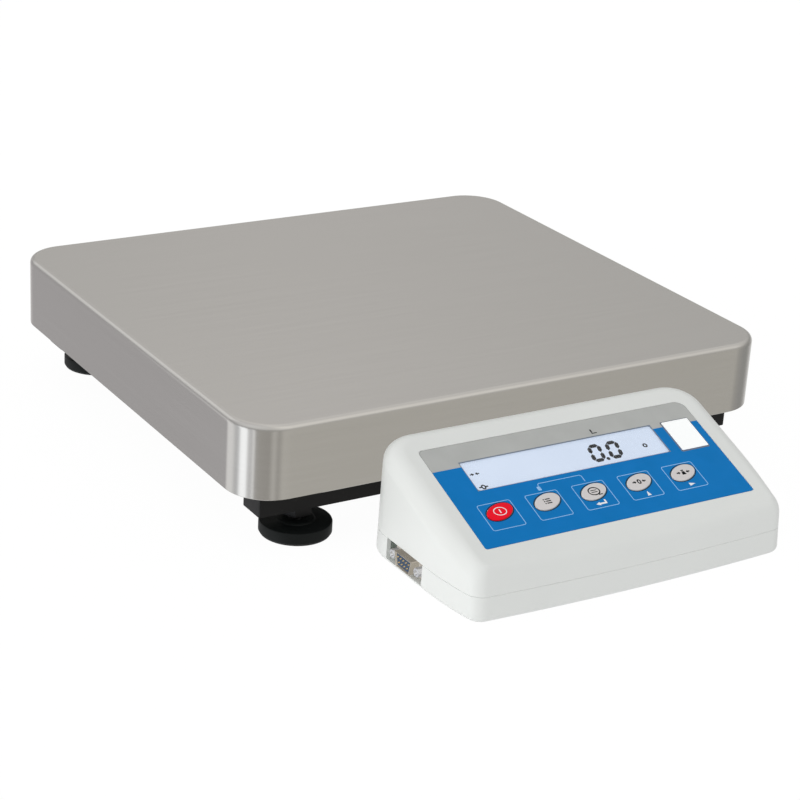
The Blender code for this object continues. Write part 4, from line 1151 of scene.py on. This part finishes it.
# What the steel mirrors: strip lights, walls and flags all round, by degrees from +X
STUDIO = (
    (0, (0.50, 0.495, 0.48)), (13, (0.66, 0.65, 0.64)), (25, (0.88, 0.87, 0.86)),
    (37, (0.89, 0.88, 0.87)), (49, (0.99, 0.98, 0.97)), (61, (1.10, 1.09, 1.08)),
    (75, (0.95, 0.94, 0.93)), (100, (0.68, 0.66, 0.67)),
    (121, (0.63, 0.615, 0.63)), (128, (1.36, 1.35, 1.36)),
    (147, (1.32, 1.33, 1.34)), (156, (0.92, 0.93, 0.95)), (164, (0.94, 0.96, 0.99)),
    (173, (2.06, 2.11, 2.18)), (187, (2.02, 2.07, 2.15)), (193, (1.05, 1.06, 1.08)),
    (201, (1.00, 1.01, 1.03)), (206, (1.52, 1.53, 1.55)), (211, (0.68, 0.67, 0.65)),
    (220, (0.64, 0.62, 0.59)), (244, (0.60, 0.58, 0.55)), (255, (0.88, 0.86, 0.82)),
    (266, (0.62, 0.60, 0.57)), (278, (0.86, 0.84, 0.79)), (302, (0.81, 0.79, 0.74)),
    (314, (0.80, 0.78, 0.73)), (325, (0.63, 0.62, 0.59)), (337, (0.57, 0.56, 0.55)),
    (349, (0.50, 0.50, 0.49)),
)
# Above the horizon the walls are plainer, so that the plate's top stays grey from every side
STUDIO_ABOVE = (
    (0, (0.74, 0.73, 0.71)), (25, (0.76, 0.75, 0.73)), (47, (0.80, 0.79, 0.77)),
    (60, (0.90, 0.88, 0.86)), (72, (0.80, 0.79, 0.77)), (110, (0.72, 0.71, 0.71)),
    (180, (0.86, 0.86, 0.86)), (250, (0.76, 0.75, 0.73)), (300, (1.04, 1.02, 0.98)),
    (335, (0.92, 0.90, 0.87)),
)
# How both change with height, by the sine of the elevation
STUDIO_RISE = (
    (0.0, 1.0), (0.10, 0.80), (0.22, 0.66), (0.34, 0.86), (0.46, 1.14), (0.62, 1.36), (0.8, 1.4),
)
STUDIO_RANGE = 2.0  # a ramp holds 0 to 1, so the tones are halved in it and doubled after it
WINDOW_LIGHT = Vector((-0.33, 0.82, 0.47)).normalized()  # behind on the left, mirrored by the steel
MATT_LIGHT = Vector((-1.0, 0.0, 0.12)).normalized()  # lights the terminal's left wall
CAMERA_AT = (-0.6914, -1.0550, 0.5478)
CAMERA_TURN = (1.1784, -0.0568, -0.5425)
SENSOR, LENS = 36, 99.285  # millimetres


def add_ramp(tree, value, stops, last):
    """A ramp from the first stop, at 0, through the others to the last colour, at 1."""
    ramp = add_node(tree, "ValToRGB", {"Fac": value})
    elements = ramp.color_ramp.elements
    elements[0].color = (*stops[0][1], 1)
    elements[1].color = (*last, 1)
    for position, colour in stops[1:]:
        elements.new(position).color = (*colour, 1)
    return ramp.outputs["Color"]


def add_soft_light(tree, direction, light, *ranges):
    """ranges: two cosines of the angle to the light, and how bright it is at each."""
    toward = {0: direction, 1: tuple(light)}
    nearness = add_node(tree, "VectorMath", toward, operation="DOT_PRODUCT").outputs["Value"]
    return add_range(tree, nearness, *ranges, interpolation_type="SMOOTHSTEP")


def add_mirrored_studio(tree, direction):
    parts = add_node(tree, "SeparateXYZ", {"Vector": direction}).outputs
    angle = add_math(tree, "ARCTAN2", parts["Y"], parts["X"])
    turn = add_math(tree, "FRACT", add_math(tree, "DIVIDE", angle, 2 * math.pi))
    low_wall, high_wall = (
        add_ramp(tree, turn, [(degrees / 360, colour) for degrees, colour in table], table[0][1])
        for table in (STUDIO, STUDIO_ABOVE)
    )
    upward = add_range(tree, parts["Z"], 0.0, 0.14, 0.0, 1.0, interpolation_type="SMOOTHSTEP")
    walls = add_node(tree, "Mix", {"Factor": upward, 6: low_wall, 7: high_wall}, data_type="RGBA")
    tones = [(height, (tone / STUDIO_RANGE,) * 3) for height, tone in STUDIO_RISE]
    rise = add_ramp(tree, parts["Z"], tones, tones[-1][1])
    scaled = add_node(tree, "VectorMath", {0: walls.outputs[2], 1: rise}, operation="MULTIPLY")
    window = add_soft_light(tree, direction, WINDOW_LIGHT, 0.93, 0.99, 0.0, 0.25)
    light = add_node(tree, "VectorMath", {0: scaled.outputs[0], 1: window}, operation="ADD")
    return add_node(tree, "Background", {"Color": light.outputs[0], "Strength": STUDIO_RANGE})


def add_soft_studio(tree, direction):
    """What lights the matt surfaces: an even room, and a big soft light on the left."""
    tone = add_soft_light(tree, direction, MATT_LIGHT, 0.68, 0.97, 0.69, 2.25)
    return add_node(tree, "Background", {"Color": (1.0, 1.0, 0.99), "Strength": tone})


def make_world():
    world = bpy.data.worlds.new("studio")
    bpy.context.scene.world = world
    world.use_nodes = True
    world.cycles.sampling_method = "NONE"  # so that matt surfaces see only the soft studio
    tree = world.node_tree
    tree.nodes.clear()
    direction = add_node(tree, "TexCoord").outputs["Generated"]
    ray = add_node(tree, "LightPath").outputs
    seen = add_mirrored_studio(tree, direction)
    soft = add_soft_studio(tree, direction)
    white = add_node(tree, "Background", {"Color": (1.0, 1.0, 1.0)})
    for kind, background in (("Is Diffuse Ray", soft), ("Is Camera Ray", white)):
        inputs = {0: ray[kind], 1: seen.outputs[0], 2: background.outputs[0]}
        seen = add_node(tree, "MixShader", inputs)
    output = add_node(tree, "OutputWorld")
    tree.links.new(seen.outputs[0], output.inputs["Surface"])


def make_camera():
    data = bpy.data.cameras.new("camera")
    data.sensor_width = SENSOR
    data.lens = LENS
    data.clip_start = 0.05
    camera = bpy.data.objects.new("camera", data)
    camera.location = CAMERA_AT
    camera.rotation_euler = CAMERA_TURN
    bpy.context.scene.collection.objects.link(camera)
    bpy.context.scene.camera = camera


def ink(name, colour, roughness=0.45, variation=0.05, **sockets):
    return moulded(name, colour, roughness, 3000, 0.000002, variation, **sockets)


def build():
    dark_ink = ink("dark_ink", (0.006, 0.006, 0.008), 0.5, 0.1, Specular_IOR_Level=0.05)
    border_ink = ink("border_ink", (0.010, 0.035, 0.075), 0.5, 0.1, Specular_IOR_Level=0.05)
    white_ink = ink("white_ink", (0.95, 0.96, 0.98), variation=0.03)
    pale_ink = ink("pale_blue_ink", (0.31, 0.60, 0.95))
    line_ink = ink("grey_ink", (0.14, 0.16, 0.20))
    blue_plastic = moulded("blue_insulator", (0.004, 0.034, 0.085), 0.4, 2400, 0.000008, 0.2)
    gold = metal("gold_plate", (0.50, 0.37, 0.17), 0.25)

    make_load_plate()
    make_upper_shell()
    make_lower_shell()
    make_film()
    make_keys()
    make_key_icons(dark_ink, white_ink)
    make_frames(pale_ink)
    make_key_borders(border_ink)
    make_panel_symbols(white_ink)
    make_panel_tick(dark_ink)
    make_display(dark_ink)
    make_sticker(line_ink)
    make_connector_insert(blue_plastic, gold)
    for corner in CORNERS:
        make_foot(corner)
    finish_cad_nodes()
    bpy.context.view_layer.update()
    keep_out_of_reflections()
    make_floor()
    make_world()
    make_camera()
    bpy.context.scene.view_settings.view_transform = "Standard"


build()
